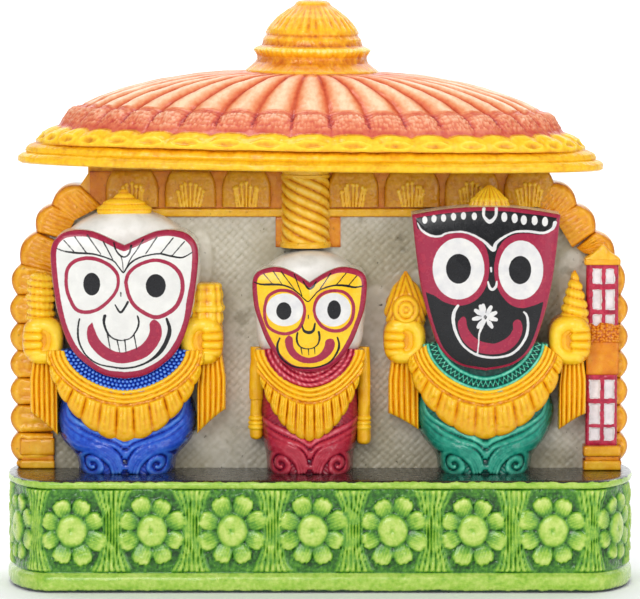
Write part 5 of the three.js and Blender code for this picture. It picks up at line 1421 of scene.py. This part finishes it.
def crest(cast, spec):
    dx, rows, kind = spec["crest"]
    heights, halves = np.array(rows, float).T
    angle = np.linspace(0, 2 * math.pi, 160, endpoint=False)[None]
    z = np.linspace(heights[0], heights[-1], 56)[:, None]
    half = np.interp(z, heights, halves)
    if kind == "steps":
        carved = 0.4 * np.abs(np.sin((z - heights[0]) * math.pi / 1.35)) ** 0.7 + 0.08 * np.abs(np.cos(angle * 20))
    else:
        carved = 0.45 * np.abs(np.cos(angle * 9)) ** 0.8 + 0.2 * hump(z - 93.2, 0.5)
    carved = carved * np.clip(half / 2, 0, 1) + 0 * angle
    size = 1 + (carved - 0.25) / np.maximum(half, 1)
    x, y = half * size * np.cos(angle), half * 0.5 * size * np.sin(angle)
    points = np.stack([spec["x"] + dx + x, -3.6 + y, z + 0 * x], -1)
    cast.loft(points, 0, relief=np.clip(0.15 + 1.5 * carved, 0, 1), warm=0.1 * (kind == "steps"), shade=0.0)


def figure(name, arm_paint):
    spec = FIGURES[name]
    node = name + "_figure"
    cast = Cast()
    mask(cast, name, spec)
    if spec["head"]:
        head(cast, spec)
    cast.finish(name + "_mask", [mask_paint(name + "_face", spec["base"]), head_paint()], "figure_paint", node)
    cast = Cast()
    collar(cast, spec)
    skirt(cast, spec)
    necklace(cast, spec)
    cloth = cloth_paint(name + "_cloth", spec["cloth"])
    cast.finish(name + "_dress", [cloth, cloth, arm_paint], "figure_paint", node)
    cast = Cast()
    for place in spec["hands"]:
        hand(cast, spec, place)
    for edges in spec["sleeves"]:
        sleeve(cast, spec, edges)
    for kind, dx, rows in spec["held"]:
        upright(cast, spec, kind, dx, rows)
    if spec["crest"]:
        crest(cast, spec)
    cast.finish(name + "_arms", [arm_paint], "figure_paint", node)


def ornament_paint():
    stops = [(0, "a9560a"), (0.18, "d98c0c"), (0.4, "eead14"), (0.65, "f5c11d"), (0.88, "f9ca24"), (1, "fcd23a")]
    return brushed("ornament_gold", stops, [("warm", "f6bf70"), ("shade", "a39a48")], mottle=0.3, gloss=(0.16, 0.32))


# Scene


def soft_light(name, place, target, size, power, tint=(1, 1, 1)):
    light = bpy.data.lights.new(name, "AREA")
    light.shape = "RECTANGLE"
    light.size, light.size_y = size
    light.energy = power
    light.color = tint
    lamp = bpy.data.objects.new(name, light)
    lamp.location = place
    aim = Vector(target) - Vector(place)
    lamp.rotation_euler = aim.to_track_quat("-Z", "Y").to_euler()
    bpy.context.collection.objects.link(lamp)


def photo_camera():
    lens = bpy.data.cameras.new("photo_camera")
    lens.lens = 275
    lens.sensor_width = 36
    lens.clip_start, lens.clip_end = 0.05, 20
    camera = bpy.data.objects.new("photo_camera", lens)
    camera.location = (0, -1.185, 0.168)
    camera.rotation_euler = (math.radians(85.2), 0, 0)
    bpy.context.collection.objects.link(camera)
    bpy.context.scene.camera = camera


def pale_floor():
    mesh = bpy.data.meshes.new("studio_floor")
    across, front, bend, radius, steps = 2.5, -1.5, 0.7, 1.5, 24
    turns = [math.pi / 2 * k / steps for k in range(steps + 1)]
    side_view = [(front, 0), *[(bend + radius * math.sin(t), radius * (1 - math.cos(t))) for t in turns]]
    corners = [(x, y, z) for y, z in side_view for x in (-across, across)]
    strips = [(2 * k, 2 * k + 1, 2 * k + 3, 2 * k + 2) for k in range(len(side_view) - 1)]
    mesh.from_pydata(corners, [], strips)
    mesh.shade_smooth()
    floor = bpy.data.objects.new("studio_floor", mesh)
    bpy.context.collection.objects.link(floor)
    paint = Paint("studio_paper", coat=0)
    base = paint.ramp(paint.noise(90, 2), [(0.3, "f4f4f4"), (0.7, "f8f8f8")])
    mesh.materials.append(paint.finish(base, gloss=(0.6, 0.8), grain=1, depth=0.01))


def studio():
    world = bpy.data.worlds.new("studio_air")
    world.use_nodes = True
    world.node_tree.nodes["Background"].inputs["Color"].default_value = (0.93, 0.95, 1, 1)
    world.node_tree.nodes["Background"].inputs["Strength"].default_value = 0.45
    bpy.context.scene.world = world
    bpy.context.scene.view_settings.view_transform = "Standard"
    soft_light("key", (-0.3, -1, 0.5), (0, 0, 0.07), (0.6, 0.5), 5.6)
    soft_light("fill", (0.7, -0.9, 0.3), (0, 0, 0.07), (0.6, 0.6), 3)
    soft_light("over", (0, 0.1, 0.9), (0, 0, 0.05), (0.7, 0.4), 2)
    soft_light("backdrop", (0, 1.3, 1.1), (0, 1.3, 0), (3, 1.4), 26)


plinth()
back_wall()
canopy_dome()
finial()
ornaments = ornament_paint()
for figure_name in FIGURES:
    figure(figure_name, ornaments)
photo_camera()
pale_floor()
studio()
